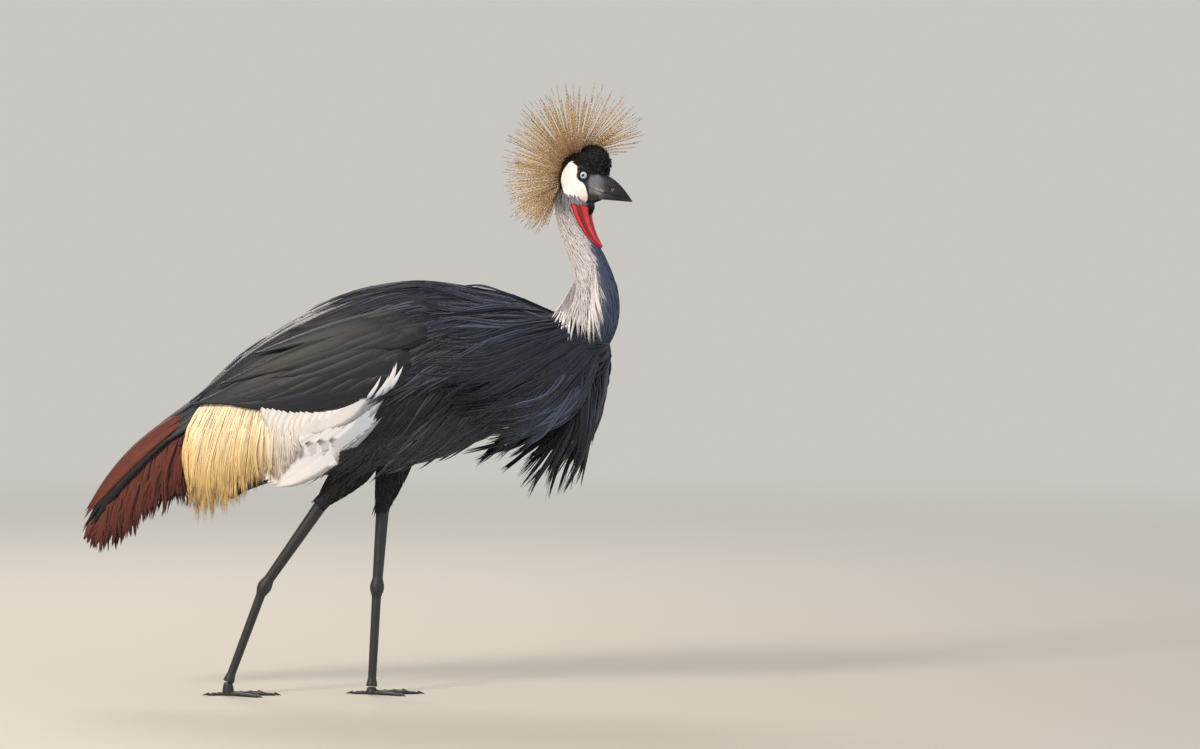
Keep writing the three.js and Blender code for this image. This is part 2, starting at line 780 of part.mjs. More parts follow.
// The cloak of scapulars on one side, over the layer whose height under gives.
function cloakSolid(side, under) {
  const { bow, lift, sunk, thick, rows, columns } = SCAPULARS;
  const [roots, tips] = [places(SCAPULARS.roots), places(SCAPULARS.tips)];
  const [top, bottom] = [[], []];
  for (let i = 0; i <= rows; i += 1) {
    for (let j = 0; j <= columns; j += 1) {
      const [along, down] = [i / rows, j / columns];
      const root = roots.getPoint(down);
      const reach = tips.getPoint(down).sub(root);
      const rise = mix(...bow, down) * hump(along);
      const height = mix(sunk, lift, THREE.MathUtils.smoothstep(along, 0, 0.22));
      const spot = root.addScaledVector(reach, along);
      const { place, face } = laid(spot.x + rise * reach.z, spot.z - rise * reach.x, height, side, under);
      top.push(place.clone().addScaledVector(face, thick / 2));
      bottom.push(place.clone().addScaledVector(face, -thick / 2));
    }
  }
  return closedSheet([...top, ...bottom], top.length, rows, columns);
}

// A feather's half width along its length as a share of its widest, pointed or blunt at the tip.
function outline(along, widest, blunt) {
  if (along < widest) return mix(0.22, 1, Math.sin(((Math.PI / 2) * along) / widest));
  const past = (along - widest) / (1 - widest);
  return Math.max(0.05, 1 - past ** (blunt ? 3 : 1.7));
}

// The tail's feathers, spread as a low roof from their roots at the rump, the middle one on top.
function tailSolids() {
  const root = body.point(TAIL.from, 0, 0, 0);
  const tip = body.point(TAIL.to, 0, 0, 0);
  const along = tip.clone().sub(root);
  const up = new THREE.Vector3(along.z, 0, -along.x).normalize();
  const block = limb(body.point(TAIL.from - 0.4, 0, 0, 0), body.point(TAIL.from + 0.5, 0, 0, 0), 17, 11, 10, 2);
  const vanes = Array.from({ length: TAIL.count }, (_, k) => {
    const out = (Math.ceil(k / 2) * (k % 2 ? 1 : -1) * 2) / (TAIL.count - 1);
    const vane = feather({
      path: (share) => {
        const spot = root.clone().addScaledVector(along, share * (1 - 0.08 * Math.abs(out)));
        spot.y = out * mix(...TAIL.spread, share);
        return spot.addScaledVector(up, 5 - 1.5 * k * (1 - 0.2 * share) + 10 * hump(share * 0.8));
      },
      face: () => up,
      half: (share) => TAIL.half * outline(share, 0.7, true),
    });
    return comb([vane], 3, { rows: 0, thick: VANE });
  });
  return [block, ...vanes];
}

// The rows of plumes that hang from the breast. Each leaves the surface and falls to its tip.
function hangingPlumes() {
  const { count, angles, stations, tips, half, seed, strip, rows, spread, step } = BREAST_PLUMES;
  const line = places(tips);
  return angles.flatMap((degrees, row) =>
    (degrees === 180 ? [1] : [-1, 1]).map((side) => {
      const angle = THREE.MathUtils.degToRad(degrees);
      const plumes = Array.from({ length: count }, (_, k) => {
        const salt = seed + 40 * row + 17 * side + k;
        const share = THREE.MathUtils.clamp((k + vary(salt, 0.35, 0.65)) / count, 0, 1);
        const station = mix(...stations, share);
        const mirror = (spot) => spot.setY(side * spot.y);
        const root = mirror(body.point(station, angle, strip.height));
        const outward = mirror(body.outward(station, angle));
        const tip = line.getPoint(share).lerp(root, vary(salt + 0.5, 0, 0.14));
        tip.y = spread * root.y;
        tip.z += step * (180 - degrees);
        const length = root.distanceTo(tip);
        const knee = root.clone().addScaledVector(outward, 0.06 * length).lerp(tip, 0.18);
        const low = tip.clone().add(new THREE.Vector3(mix(-10, 22, share), 0, 0.3 * (root.z - tip.z)));
        const route = new THREE.CubicBezierCurve3(root, knee, low, tip);
        const aside = new THREE.Vector3(0.25, Math.sign(tip.y) || 1, 0).normalize();
        const turn = THREE.MathUtils.degToRad(strip.turn);
        return feather({
          path: (along) =>
            along < 0
              ? mirror(body.point(station, angle + along * turn, strip.height))
              : route.getPoint(along),
          face: (along) => outward.clone().lerp(aside, THREE.MathUtils.smoothstep(along, 0, 0.5)).normalize(),
          half: (along) => half * vary(salt + 0.25, 0.85, 1.1) * outline(along, BREAST_PLUMES.widest, false),
        });
      });
      return fuse([comb(plumes, rows, strip), ...studs(plumes, strip)]);
    }),
  );
}

// The head's own sections, seen from above as an egg, with a point for a share along, an angle and a lift.
const skull = {
  shape: Sections.curve(SKULL.map((s) => new THREE.Vector3(s.top, s.bottom, s.side))),
  line: Sections.curve(SKULL.map((s) => new THREE.Vector3(s.x, 0, 0))),
};

function skullSolid(margin) {
  return solid(
    loft(12, 8, (share, angle, reach) => {
      const { x: top, y: bottom, z: side } = skull.shape.getPoint(share);
      const x = skull.line.getPoint(share).x + margin * reach * (share * 2 - 1);
      const middle = (top + bottom) / 2;
      const high = (top - bottom) / 2 + margin;
      const wide = side + margin;
      return new THREE.Vector3(
        x,
        reach * wide * Math.sin(angle),
        middle + reach * high * Math.cos(angle),
      );
    }),
  );
}

function ellipsoid(x, y, z, long, wide, high, around, down) {
  const geometry = new THREE.SphereGeometry(1, around, down);
  geometry.rotateX(Math.PI / 2);
  geometry.scale(long, wide, high);
  geometry.translate(x, y, z);
  return solid(geometry);
}

// The tuft of black feathers on the throat, in front of the wattle's root.
function throatSolid(margin) {
  const { x, z, long, side, high } = THROAT;
  return ellipsoid(x, 0, z, long + margin, side + margin, high + margin, 10, 6);
}

function capSolid(margin) {
  const crown = ellipsoid(CAP.x, 0, CAP.z, CAP.long + margin, CAP.side + margin, CAP.high + margin, 14, 8);
  const nape = ellipsoid(NAPE.x, 0, NAPE.z, NAPE.long + margin, NAPE.side + margin, NAPE.high + margin, 12, 6);
  return crown.add(nape);
}

// The bare white cheek patch, a bean-shaped outline in the head's side view.
function cheekSolid(side, margin) {
  const outline = CHEEK.map(([x, z]) => new THREE.Vector2(x, z));
  const middle = outline.reduce((sum, spot) => sum.add(spot), new THREE.Vector2()).divideScalar(CHEEK.length);
  const rim = outline.map((spot) => spot.clone().add(spot.clone().sub(middle).setLength(margin)));
  const shape = new THREE.Shape();
  shape.setFromPoints(new THREE.SplineCurve([...rim, rim[0]]).getPoints(22).slice(0, -1));
  const geometry = new THREE.ExtrudeGeometry(shape, { depth: 40, bevelEnabled: false });
  geometry.rotateX(Math.PI / 2);
  if (side > 0) geometry.translate(0, 40, 0);
  return solid(geometry).intersect(skullSolid(CHEEK_LIFT + margin));
}

function eyeSolid(side, margin) {
  const { x, z, side: y, radius } = EYE_BALL;
  return ellipsoid(x, side * y, z, radius + margin, radius * 0.85 + margin, radius + margin, 10, 6);
}

// The rim of the eyelids, a ring on the face of the head.
function lidSolid(side) {
  const { x, z, side: y, radius, lid } = EYE_BALL;
  const ring = new THREE.TorusGeometry(radius, lid, 4, 10);
  ring.rotateX(Math.PI / 2);
  ring.translate(x, side * (y + 3.6), z);
  return solid(ring);
}

// The bill's upper or lower half, from its root to its tip. sign is 1 above the mouth and -1 below.
function billSolid(sign, margin) {
  const rootEdge = sign > 0 ? BILL.rootTop : BILL.rootBottom;
  return solid(
    loft(10, 7, (share, angle, reach) => {
      const x = mix(BILL.root, BILL.tip + margin, share);
      const mouth = mix(BILL.mouth, BILL.tipDrop, share ** 1.4) + sign * (GAP / 2 - margin);
      const taper = sign > 0 ? 1 - share ** 2.1 : 1 - share ** 1.5;
      const edge = mouth + (rootEdge - BILL.mouth) * taper + sign * (0.8 + margin);
      const half = (BILL.side - 1.2) * (1 - share ** 1.5) + 1.2 + margin;
      const up = Math.max(0, sign * Math.cos(angle));
      return new THREE.Vector3(x, reach * half * Math.sin(angle), mix(mouth, edge, reach * up));
    }),
  );
}

function nostrilSolid(side) {
  return ellipsoid(NOSTRIL.x, side * 10, NOSTRIL.z, NOSTRIL.long, 4.5, NOSTRIL.high, 8, 6);
}

// The red throat wattle, a fold of skin round the front of the neck with ridges down its length.
function wattleSolid(margin) {
  const { from, to, reach, lift, fold } = WATTLE;
  const half = (along) => mix(...reach, along ** 0.85) + 2 * margin;
  const across = (down) => Math.abs(2 * down - 1);
  return shell({
    trunk: neck,
    from: from + 0.02 * margin,
    to: to - 0.02 * margin,
    high: (along) => 180 - half(along),
    low: (along) => 180 + half(along),
    outer: (along, down) =>
      mix(lift[0], lift[1], across(down) ** 2) + fold * Math.cos(6 * Math.PI * down) * hump(along) + margin,
    inner: () => -1.5 - margin,
    side: 1,
    rows: 6,
    columns: 10,
  }).transform(headInverse.elements);
}

// Skin at the back of the head from which the crest stands, a band from crown to nape.
const CREST_BAND = Sections.curve(
  [
    [-4, 43],
    [-14, 38],
    [-25, 24],
    [-30, 6],
    [-30, -14],
  ].map(([x, z]) => new THREE.Vector3(x, 0, z)),
);

function crestBand() {
  return solid(
    loft(8, 6, (share, angle, reach) => {
      const middle = CREST_BAND.getPoint(share);
      const half = 15 * (0.45 + 0.55 * hump(mix(0.08, 0.92, share))) * reach;
      const along = CREST_BAND.getTangent(share);
      const out = new THREE.Vector3(along.z, 0, -along.x);
      middle.addScaledVector(out, half * 0.55 * Math.cos(angle));
      return middle.setY(half * Math.sin(angle));
    }),
  );
}

// One bristle: a slim three-sided spine that bends a little on its way to its point.
function bristle(root, heading, length, radius, bend) {
  const turn = new THREE.Quaternion().setFromUnitVectors(new THREE.Vector3(0, 1, 0), heading);
  const spine = new THREE.ConeGeometry(radius, length, 3, 2);
  spine.translate(0, length / 2, 0);
  const spots = spine.attributes.position;
  for (let i = 0; i < spots.count; i += 1) {
    const share = spots.getY(i) / length;
    const swell = share > 0.4 && share < 0.6 ? 1.35 : 1;
    spots.setX(i, spots.getX(i) * swell + bend * hump(share));
    spots.setZ(i, spots.getZ(i) * swell);
  }
  spine.applyQuaternion(turn);
  spine.translate(root.x, root.y, root.z);
  return solid(spine);
}

// Where a ray out from inside the crown meets the crest's band of skin.
function bristleRoot(heading) {
  const turn = Math.atan2(heading.z, -heading.x);
  const share = THREE.MathUtils.clamp(1 - (turn + 0.35) / 2.1, 0.04, 0.96);
  return CREST_BAND.getPoint(share).add(new THREE.Vector3(0, 13 * heading.y * (0.5 + 0.5 * hump(share)), 0));
}

// Whether a bristle keeps off the cap and, on the side that the head turns to, off the face.
function keepsClear(root, heading) {
  const onTurnedSide = heading.y < 0.1;
  if (heading.x > 0 && onTurnedSide && heading.z < 0.5) return false;
  if (heading.z < -0.42 && heading.x > -0.45) return false;
  return [0.1, 0.2, 0.3, 0.45, 0.6].every((share) => {
    const spot = root.clone().addScaledVector(heading, share * CREST.length);
    const [x, z] = [(spot.x - CAP.x) / (CAP.long + 3), (spot.z - CAP.z) / (CAP.high + 3)];
    return share < 0.15 || Math.hypot(x, spot.y / (CAP.side + 3), z) > 1;
  });
}

// The crest's bristles, spread evenly over part of a sphere that leans back.
function crestSolids() {
  const lean = new THREE.Quaternion().setFromAxisAngle(
    new THREE.Vector3(0, 1, 0),
    -THREE.MathUtils.degToRad(CREST.lean),
  );
  const flattest = Math.cos(THREE.MathUtils.degToRad(CREST.spread));
  const made = [];
  for (let k = 0; k < CREST.count; k += 1) {
    const rise = mix(1, flattest, (k + 0.5) / CREST.count);
    const turn = k * GOLDEN_ANGLE + vary(k, -0.08, 0.08);
    const flat = Math.sqrt(1 - rise * rise);
    const heading = new THREE.Vector3(flat * Math.cos(turn), flat * Math.sin(turn), rise).applyQuaternion(lean);
    const root = bristleRoot(heading);
    if (keepsClear(root, heading)) {
      const length = CREST.length * (0.88 + 0.2 * Math.max(0, heading.z)) * vary(k + 0.5, 0.92, 1.06);
      made.push(bristle(root, heading, length, CREST.root, vary(k + 0.25, -5, 5)));
    }
  }
  return made;
}

// The bristles that stand out ahead of the crown on the left, on a rib of skin along the cap's side.
function farCrestSolids() {
  const { count, start, end, radius, heading, rise } = FAR_CREST;
  const [from, to] = [new THREE.Vector3(...start), new THREE.Vector3(...end)];
  const bristles = Array.from({ length: count }, (_, k) => {
    const share = (k + 0.5) / count;
    const turn = THREE.MathUtils.degToRad(mix(...heading, share));
    const climb = THREE.MathUtils.degToRad(mix(...rise, (k * 0.618 + 0.3) % 1));
    const level = Math.cos(climb);
    const aim = new THREE.Vector3(level * Math.cos(turn), level * Math.sin(turn), Math.sin(climb));
    const length = CREST.length * vary(k + 300, 1, 1.12);
    return bristle(from.clone().lerp(to, share), aim, length, CREST.root, vary(k + 301, -5, 5));
  });
  return [limb(from, to, radius, radius * 0.8, 8, 2), ...bristles];
}

// A straight tapered limb between two points, with a rounded section.
function limb(start, end, startRadius, endRadius, around = 12, along = 4, swell = 0) {
  const a = new THREE.Vector3(start.x, start.y, start.z);
  const b = new THREE.Vector3(end.x, end.y, end.z);
  const turn = new THREE.Quaternion().setFromUnitVectors(
    new THREE.Vector3(0, 0, 1),
    b.clone().sub(a).normalize(),
  );
  return solid(
    loft(around, along, (share, angle, reach) => {
      const radius = (mix(startRadius, endRadius, share) + swell * hump(share)) * reach;
      const spot = new THREE.Vector3(radius * Math.cos(angle), radius * Math.sin(angle), 0);
      return spot.applyQuaternion(turn).add(a.clone().lerp(b, share));
    }),
  );
}

// The ankle: a knob on the bend between shank and tarsus, fuller behind.
function ankleSolid(top, middle, foot) {
  const [a, b, c] = [top, middle, foot].map((spot) => new THREE.Vector3(spot.x, spot.y, spot.z));
  const route = new THREE.QuadraticBezierCurve3(a, b, c);
  return solid(
    loft(10, 6, (share, angle, reach) => {
      const along = route.getTangent(share);
      const ahead = new THREE.Vector3(along.z, 0, -along.x).normalize();
      const aside = along.clone().cross(ahead);
      const radius = (mix(SHANK.bottom, TARSUS.top, share) + (ANKLE.radius - 9) * hump(share) ** 1.5) * reach;
      const back = Math.cos(angle) > 0 ? 1.15 : 0.95;
      return route
        .getPoint(share)
        .addScaledVector(ahead, radius * back * Math.cos(angle))
        .addScaledVector(aside, radius * Math.sin(angle));
    }),
  );
}

function legSolids(leg, margin = 0) {
  const along = (a, b, share) => ({
    x: mix(a.x, b.x, share),
    y: mix(a.y, b.y, share),
    z: mix(a.z, b.z, share),
  });
  const share = (a, b, length) =>
    length / new THREE.Vector3(a.x - b.x, a.y - b.y, a.z - b.z).length();
  const { thigh, shank, ankle, heel } = leg;
  const shankStart = along(shank, ankle, share(shank, ankle, -14));
  const ankleTop = along(ankle, shank, share(ankle, shank, ANKLE.long));
  const ankleFoot = along(ankle, heel, share(ankle, heel, ANKLE.long));
  const shankEnd = along(ankle, shank, share(ankle, shank, ANKLE.long + GAP));
  const tarsusStart = along(ankle, heel, share(ankle, heel, ANKLE.long + GAP));
  return {
    thigh: limb(thigh, shank, THIGH.top + margin, THIGH.bottom + margin, 12, 4, 4),
    shank: limb(shankStart, shankEnd, SHANK.top, SHANK.bottom, 10, 3),
    ankle: ankleSolid(ankleTop, ankle, ankleFoot),
    tarsus: limb(tarsusStart, heel, TARSUS.top, TARSUS.bottom, 10, 3),
  };
}

// A pad under the toes' joint, flat below, in the foot's own frame with the floor at z 0.
function padSolid(high) {
  return solid(
    loft(10, 3, (share, angle, reach) => {
      const radius = PAD.radius * Math.sqrt(1 - (0.75 * share) ** 2) * reach;
      return new THREE.Vector3(radius * Math.cos(angle), radius * Math.sin(angle), high * share);
    }),
  );
}

// A toe that lies on the floor, flat below, with knuckles along its length. It runs along +X from start.
function toeSolid(toe, start) {
  const end = start + toe.length;
  return solid(
    loft(7, 5, (share, angle, reach) => {
      const knuckle = 1 + 0.1 * Math.cos(share * Math.PI * 6);
      const half = toe.half * mix(1.05, 0.72, share) * knuckle;
      const rise = half * (1 + Math.cos(angle));
      return new THREE.Vector3(
        mix(start, end, share),
        reach * half * Math.sin(angle),
        reach * Math.max(0, rise - 0.5 * half) + (1 - reach) * half * 0.6,
      );
    }),
  );
}

// The room that the middle toe and what lies beyond it take up, in a neighbouring toe's frame.
function middleToeRoom(toe, mirror) {
  const [, middle] = TOES;
  const turn = THREE.MathUtils.degToRad((middle.heading - toe.heading) * mirror);
  const across = new THREE.Vector3(-Math.sin(turn), Math.cos(turn), 0).multiplyScalar(Math.sign(turn));
  return beyond(across.clone().multiplyScalar(-middle.half * 1.16 - GAP), across);
}

// A curved claw at a toe's end, its point just touching the floor.
function clawSolid(toe, start) {
  const root = start + toe.length + GAP;
  return solid(
    loft(5, 4, (share, angle, reach) => {
      const half = CLAW.half * (1 - 0.9 * share ** 1.3) * reach;
      const rise = mix(3.6, 0.7, share ** 1.6) + half * Math.cos(angle);
      return new THREE.Vector3(root + CLAW.length * share, half * Math.sin(angle), rise);
    }),
  );
}

function headToWorld(piece) {
  return piece.transform(headMatrix.elements);
}

const headMatrix = new THREE.Matrix4()
  .makeRotationZ(THREE.MathUtils.degToRad(HEAD.turn))
  .setPosition(HEAD.x, 0, HEAD.z);
const headInverse = headMatrix.clone().invert();

// Head parts, in the head's own frame.
function buildHead() {
  const group = new THREE.Group();
  group.position.set(HEAD.x, 0, HEAD.z);
  group.rotation.z = THREE.MathUtils.degToRad(HEAD.turn);
  const eyes = [-1, 1].map((side) => eyeSolid(side, GAP));
  const lids = [-1, 1].map((side) => lidSolid(side));
  const bills = [1, -1].map((sign) => billSolid(sign, GAP));
  const cheeks = [-1, 1].map((side) => cheekSolid(side, GAP));
  const head = cutClear(fuse([skullSolid(0), throatSolid(0), ...lids]), [...eyes, ...bills]);
  const headRoom = fuse([skullSolid(GAP), throatSolid(GAP), ...bills]);
  const cap = cutClear(capSolid(0), [headRoom, ...cheeks, ...eyes, ...lids]);
  const neckRoom = neckSolid(GAP).transform(headInverse.elements);
  group.add(part("head", head, VELVET));
  group.add(part("cap", cap, VELVET));
  for (const [name, side] of [["right", -1], ["left", 1]]) {
    const patch = cutClear(cheekSolid(side, 0), [headRoom, eyeSolid(side, GAP), lidSolid(side)]);
    group.add(part(`cheek_${name}`, patch, BARE_WHITE));
    group.add(part(`eye_${name}`, eyeSolid(side, 0), EYE));
  }
  const nostrils = [-1, 1].map(nostrilSolid);
  group.add(part("bill_upper", cutClear(billSolid(1, 0), nostrils), HORN));
  group.add(part("bill_lower", billSolid(-1, 0), HORN));
  group.add(part("wattle", cutClear(wattleSolid(0), [headRoom, neckRoom, ...cheeks]), BARE_RED));
  const rooms = [headRoom, capSolid(GAP), ...cheeks, neckRoom, ...lids, ...eyes, wattleSolid(GAP)];
  const bristles = [...crestSolids(), ...farCrestSolids()];
  group.add(part("crest", cutClear(fuse([crestBand(), ...bristles]), rooms), STRAW));
  return group;
}

function buildNeck(group) {
  const rooms = [skullSolid(GAP), throatSolid(GAP), cheekSolid(-1, GAP), cheekSolid(1, GAP)];
  const headRoom = rooms.map(headToWorld);
  const whole = cutClear(neckSolid(0), headRoom);
  const middle = whole.intersect(neckCut(NECK_CUTS[0], 1)).intersect(neckCut(NECK_CUTS[1], -1));
  group.add(part("neck_lower", neckBase(whole), PALE_GREY));
  group.add(part("neck_middle", middle, PALE_GREY));
  group.add(part("neck_upper", whole.intersect(neckCut(NECK_CUTS[1], 1)), PALE_GREY));
}

// The neck's lowest length, with the ruff of long pointed feathers that lies over the breast.
function neckBase(whole) {
  const length = whole.intersect(neckRootCut(1)).intersect(neckCut(NECK_CUTS[0], -1));
  const ruff = [-1, 1].flatMap((side) => RUFF.map((tier) => tierSolid(tier, side, layers.shoulder)));
  return fuse([length, ...ruff]);
}

function buildBody(group) {
  const torso = torsoSolid(0).add(neckSolid(0)).intersect(neckRootCut(-1));
  const torsoRoom = torsoSolid(GAP).add(neckSolid(GAP));
  const wingRooms = [-1, 1].map((side) => wingSolid(side, GAP));
  group.add(part("torso", torso, SLATE));
  group.add(part("tail", fuse(tailSolids()).subtract(torsoRoom), BLACK));
  for (const [name, side] of [["right", -1], ["left", 1]]) {
    const tiers = (list, under) => list.map((tier) => tierSolid(tier, side, under));
    const add = (kind, pieces, finish) => group.add(part(`${kind}_${name}`, fuse(pieces), finish));
    const rooms = [torsoRoom, ...wingRooms];
    add("wing", [wingSolid(side, 0).subtract(torsoRoom), ...tiers(COVERTS, layers.wing)], WHITE);
    add("primaries", tiers(PRIMARIES, layers.wing), BLACK);
    add("gold_plumes", [cutClear(tierSolid(GOLD_PLUMES[0], side, layers.primaries), rooms)], STRAW);
    add("secondaries", [cutClear(fuse(tiers(TAIL_CLOAK, layers.body)), rooms)], CHESTNUT);
    add("scapulars", [cutClear(cloakSolid(side, layers.gold), rooms)], SLATE);
    const [plumes, mantle] = tiers(SHOULDER_PLUMES, layers.scapulars);
    add("shoulder_plumes", [cutClear(plumes, [torsoRoom]), mantle], SLATE_BLUE);
    add("flank_plumes", [cutClear(tierSolid(FLANK_PLUMES[0], side, layers.body), [torsoRoom])], SLATE);
  }
  const bib = shell({
    trunk: body,
    from: BIB.from,
    to: BIB.to,
    high: () => 180 - BIB.reach,
    low: () => 180 + BIB.reach,
    inner: () => BIB.inner,
    outer: () => BIB.outer,
    side: 1,
    rows: 5,
    columns: 6,
  });
  const bibStuds = BIB.studs.map((station) => {
    const ends = [BIB.outer - 0.4, -4].map((lift) => body.point(station, Math.PI, lift));
    return limb(...ends, STUD, STUD, 4, 1).subtract(torsoRoom);
  });
  group.add(part("breast_plumes", fuse([bib, ...bibStuds, ...hangingPlumes()]), SLATE_BLUE));
  return [torsoRoom, ...wingRooms];
}

function buildLegs(group, rooms) {
  for (const [name, leg] of Object.entries(LEGS)) {
    const limbs = legSolids(leg);
    const shankRoom = fuse([limbs.shank]);
    group.add(part(`thigh_${name}`, cutClear(limbs.thigh, [...rooms, shankRoom]), SLATE));
    group.add(part(`shank_${name}`, limbs.shank, LEG_SKIN));
    group.add(part(`ankle_${name}`, limbs.ankle, LEG_SKIN));
    const aboveFoot = beyond(new THREE.Vector3(0, 0, leg.heel.z), new THREE.Vector3(0, 0, 1));
    group.add(part(`tarsus_${name}`, limbs.tarsus.intersect(aboveFoot), LEG_SKIN));
    const mirror = name === "left" ? 1 : -1;
    const foot = new THREE.Group();
    foot.position.set(leg.heel.x, leg.heel.y, 0);
    group.add(foot);
    const padHigh = leg.heel.z - GAP;
    foot.add(part(`foot_${name}`, padSolid(padHigh), LEG_SKIN));
    for (const toe of TOES) {
      const turn = new THREE.Group();
      turn.rotation.z = THREE.MathUtils.degToRad(toe.heading * mirror);
      foot.add(turn);
      const start = PAD.radius + GAP;
      const clear = toe.name === "inner" || toe.name === "outer" ? [middleToeRoom(toe, mirror)] : [];
      turn.add(part(`toe_${toe.name}_${name}`, cutClear(toeSolid(toe, start), clear), LEG_SKIN));
      turn.add(part(`claw_${toe.name}_${name}`, clawSolid(toe, start), HORN));
    }
  }
}

const crane = new THREE.Group();
crane.name = "grey_crowned_crane";
buildNeck(crane);
buildLegs(crane, buildBody(crane));
crane.add(buildHead());

// Moves the bird so that its box stands over the origin.
crane.updateMatrixWorld(true);
const box = new THREE.Box3().setFromObject(crane, true);
crane.position.set(-(box.min.x + box.max.x) / 2, -(box.min.y + box.max.y) / 2, -box.min.z);

export default crane;
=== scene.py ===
"""Grey crowned crane, life size: its skin, plumage, eyes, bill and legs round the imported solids.

Sizes are in the bird's own millimetres until a mesh is made. +X is ahead of the bird, +Y is to its left and
+Z is up, and the ground is at Z 0. The camera looks along +Y at the bird's right side.
"""

import json
import logging
import math
from dataclasses import dataclass, field
from enum import Enum

import bpy
import numpy as np
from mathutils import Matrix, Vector

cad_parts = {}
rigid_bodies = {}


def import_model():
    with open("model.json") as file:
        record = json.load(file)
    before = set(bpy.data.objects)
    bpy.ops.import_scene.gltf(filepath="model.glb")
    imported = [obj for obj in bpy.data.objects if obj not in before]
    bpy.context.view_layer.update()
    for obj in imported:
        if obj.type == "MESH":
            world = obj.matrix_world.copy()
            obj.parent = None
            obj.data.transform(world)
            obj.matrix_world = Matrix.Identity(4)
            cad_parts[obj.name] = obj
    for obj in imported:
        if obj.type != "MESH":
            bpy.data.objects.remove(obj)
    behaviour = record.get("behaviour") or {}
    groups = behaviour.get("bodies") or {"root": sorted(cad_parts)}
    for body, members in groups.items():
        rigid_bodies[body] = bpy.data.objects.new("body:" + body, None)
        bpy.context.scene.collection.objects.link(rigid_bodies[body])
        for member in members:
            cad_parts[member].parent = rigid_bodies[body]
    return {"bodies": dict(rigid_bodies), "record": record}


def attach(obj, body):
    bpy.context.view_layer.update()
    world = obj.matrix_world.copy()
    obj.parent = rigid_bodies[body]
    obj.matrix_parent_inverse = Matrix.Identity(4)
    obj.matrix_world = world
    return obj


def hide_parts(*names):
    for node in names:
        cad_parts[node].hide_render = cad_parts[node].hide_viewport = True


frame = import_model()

log = logging.getLogger("crane")

MM = 0.001
HEEL_LEFT = (20.0, 10.0)
SOLE_LEFT = next(m for m in frame["record"]["mounts"] if m["name"] == "sole_left")["pos_m"]
ORIGIN = np.array([SOLE_LEFT[0] / MM - HEEL_LEFT[0], SOLE_LEFT[1] / MM - HEEL_LEFT[1], 0.0])
BODY_NAME = next(iter(frame["bodies"]))
# A feather's share of the skin's map.
PATCH = 0.003
# How often a search along a trunk's line halves its range, and how near to a section's edge it looks.
HALVINGS = 14
RIM = 0.998
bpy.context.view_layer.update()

Array = np.ndarray
Places = tuple[tuple[float, float], ...]


class Side(Enum):
    """One side of the bird, and the sign of Y there."""

    RIGHT = -1
    LEFT = 1

    @property
    def word(self) -> str:
        """The side's name as the solids' names end."""
        return self.name.lower()


def linear(code: str) -> Array:
    """Turns an sRGB hex colour to linear light.

    Args:
        code: A colour such as "#1a2b3c".

    Returns:
        Red, green and blue from 0 to 1.
    """
    part = np.array([int(code[i : i + 2], 16) for i in (1, 3, 5)]) / 255
    return np.where(part <= 0.04045, part / 12.92, ((part + 0.055) / 1.055) ** 2.4)


def mix(a: Array, b: Array, share: Array) -> Array:
    """What lies between a and b at a share of the way."""
    return a + (b - a) * share


def smooth(low: float, high: float, value: Array) -> Array:
    """A soft step from 0 at low to 1 at high."""
    share = np.clip((value - low) / (high - low), 0, 1)
    return share * share * (3 - 2 * share)


def unit(rows: Array) -> Array:
    """Rows of vectors brought to length 1."""
    return rows / np.maximum(np.linalg.norm(rows, axis=-1, keepdims=True), 1e-9)


def circle(count: int) -> Array:
    """Angles evenly spaced round a circle, in radians."""
    return np.linspace(0, 2 * np.pi, count, endpoint=False)


def grid(low: float, high: float, rows: int, around: int) -> tuple[Array, Array]:
    """Shares from low to high by angles round a circle, as two grids of rows by angles."""
    return np.meshgrid(np.linspace(low, high, rows), circle(around), indexing="ij")


def wrapped(angle: Array) -> Array:
    """Angles brought to between minus and plus half a turn."""
    return np.arctan2(np.sin(angle), np.cos(angle))


def hump(share: Array) -> Array:
    """A rise from 0 through 1 at the middle and back to 0."""
    return np.sin(np.pi * np.clip(share, 0, 1))


def blend_colour(a: Array, b: Array, share: Array) -> Array:
    """Mixes two colours by an array of shares."""
    return mix(a, b, np.asarray(share)[..., None])


def signed_distance(x: Array, z: Array, outline: Places) -> Array:
    """How far inside a closed outline each place is.

    Args:
        x: First coordinates.
        z: Second coordinates.
        outline: Corners of the outline, in order.

    Returns:
        The distance to the outline, above 0 inside.
    """
    spot = np.stack([x, z], -1)
    inside = np.zeros(x.shape, bool)
    nearest = np.full(x.shape, 1e9)
    corners = np.array(outline, float)
    for a, b in zip(corners, np.roll(corners, -1, 0)):
        edge = b - a
        share = np.clip(((spot - a) @ edge) / (edge @ edge), 0, 1)
        nearest = np.minimum(nearest, np.linalg.norm(spot - a - share[..., None] * edge, axis=-1))
        crosses = (a[1] > z) != (b[1] > z)
        rise = edge[1] if abs(edge[1]) > 1e-9 else 1e-9
        inside ^= crosses & (x < a[0] + edge[0] * (z - a[1]) / rise)
    return np.where(inside, nearest, -nearest)


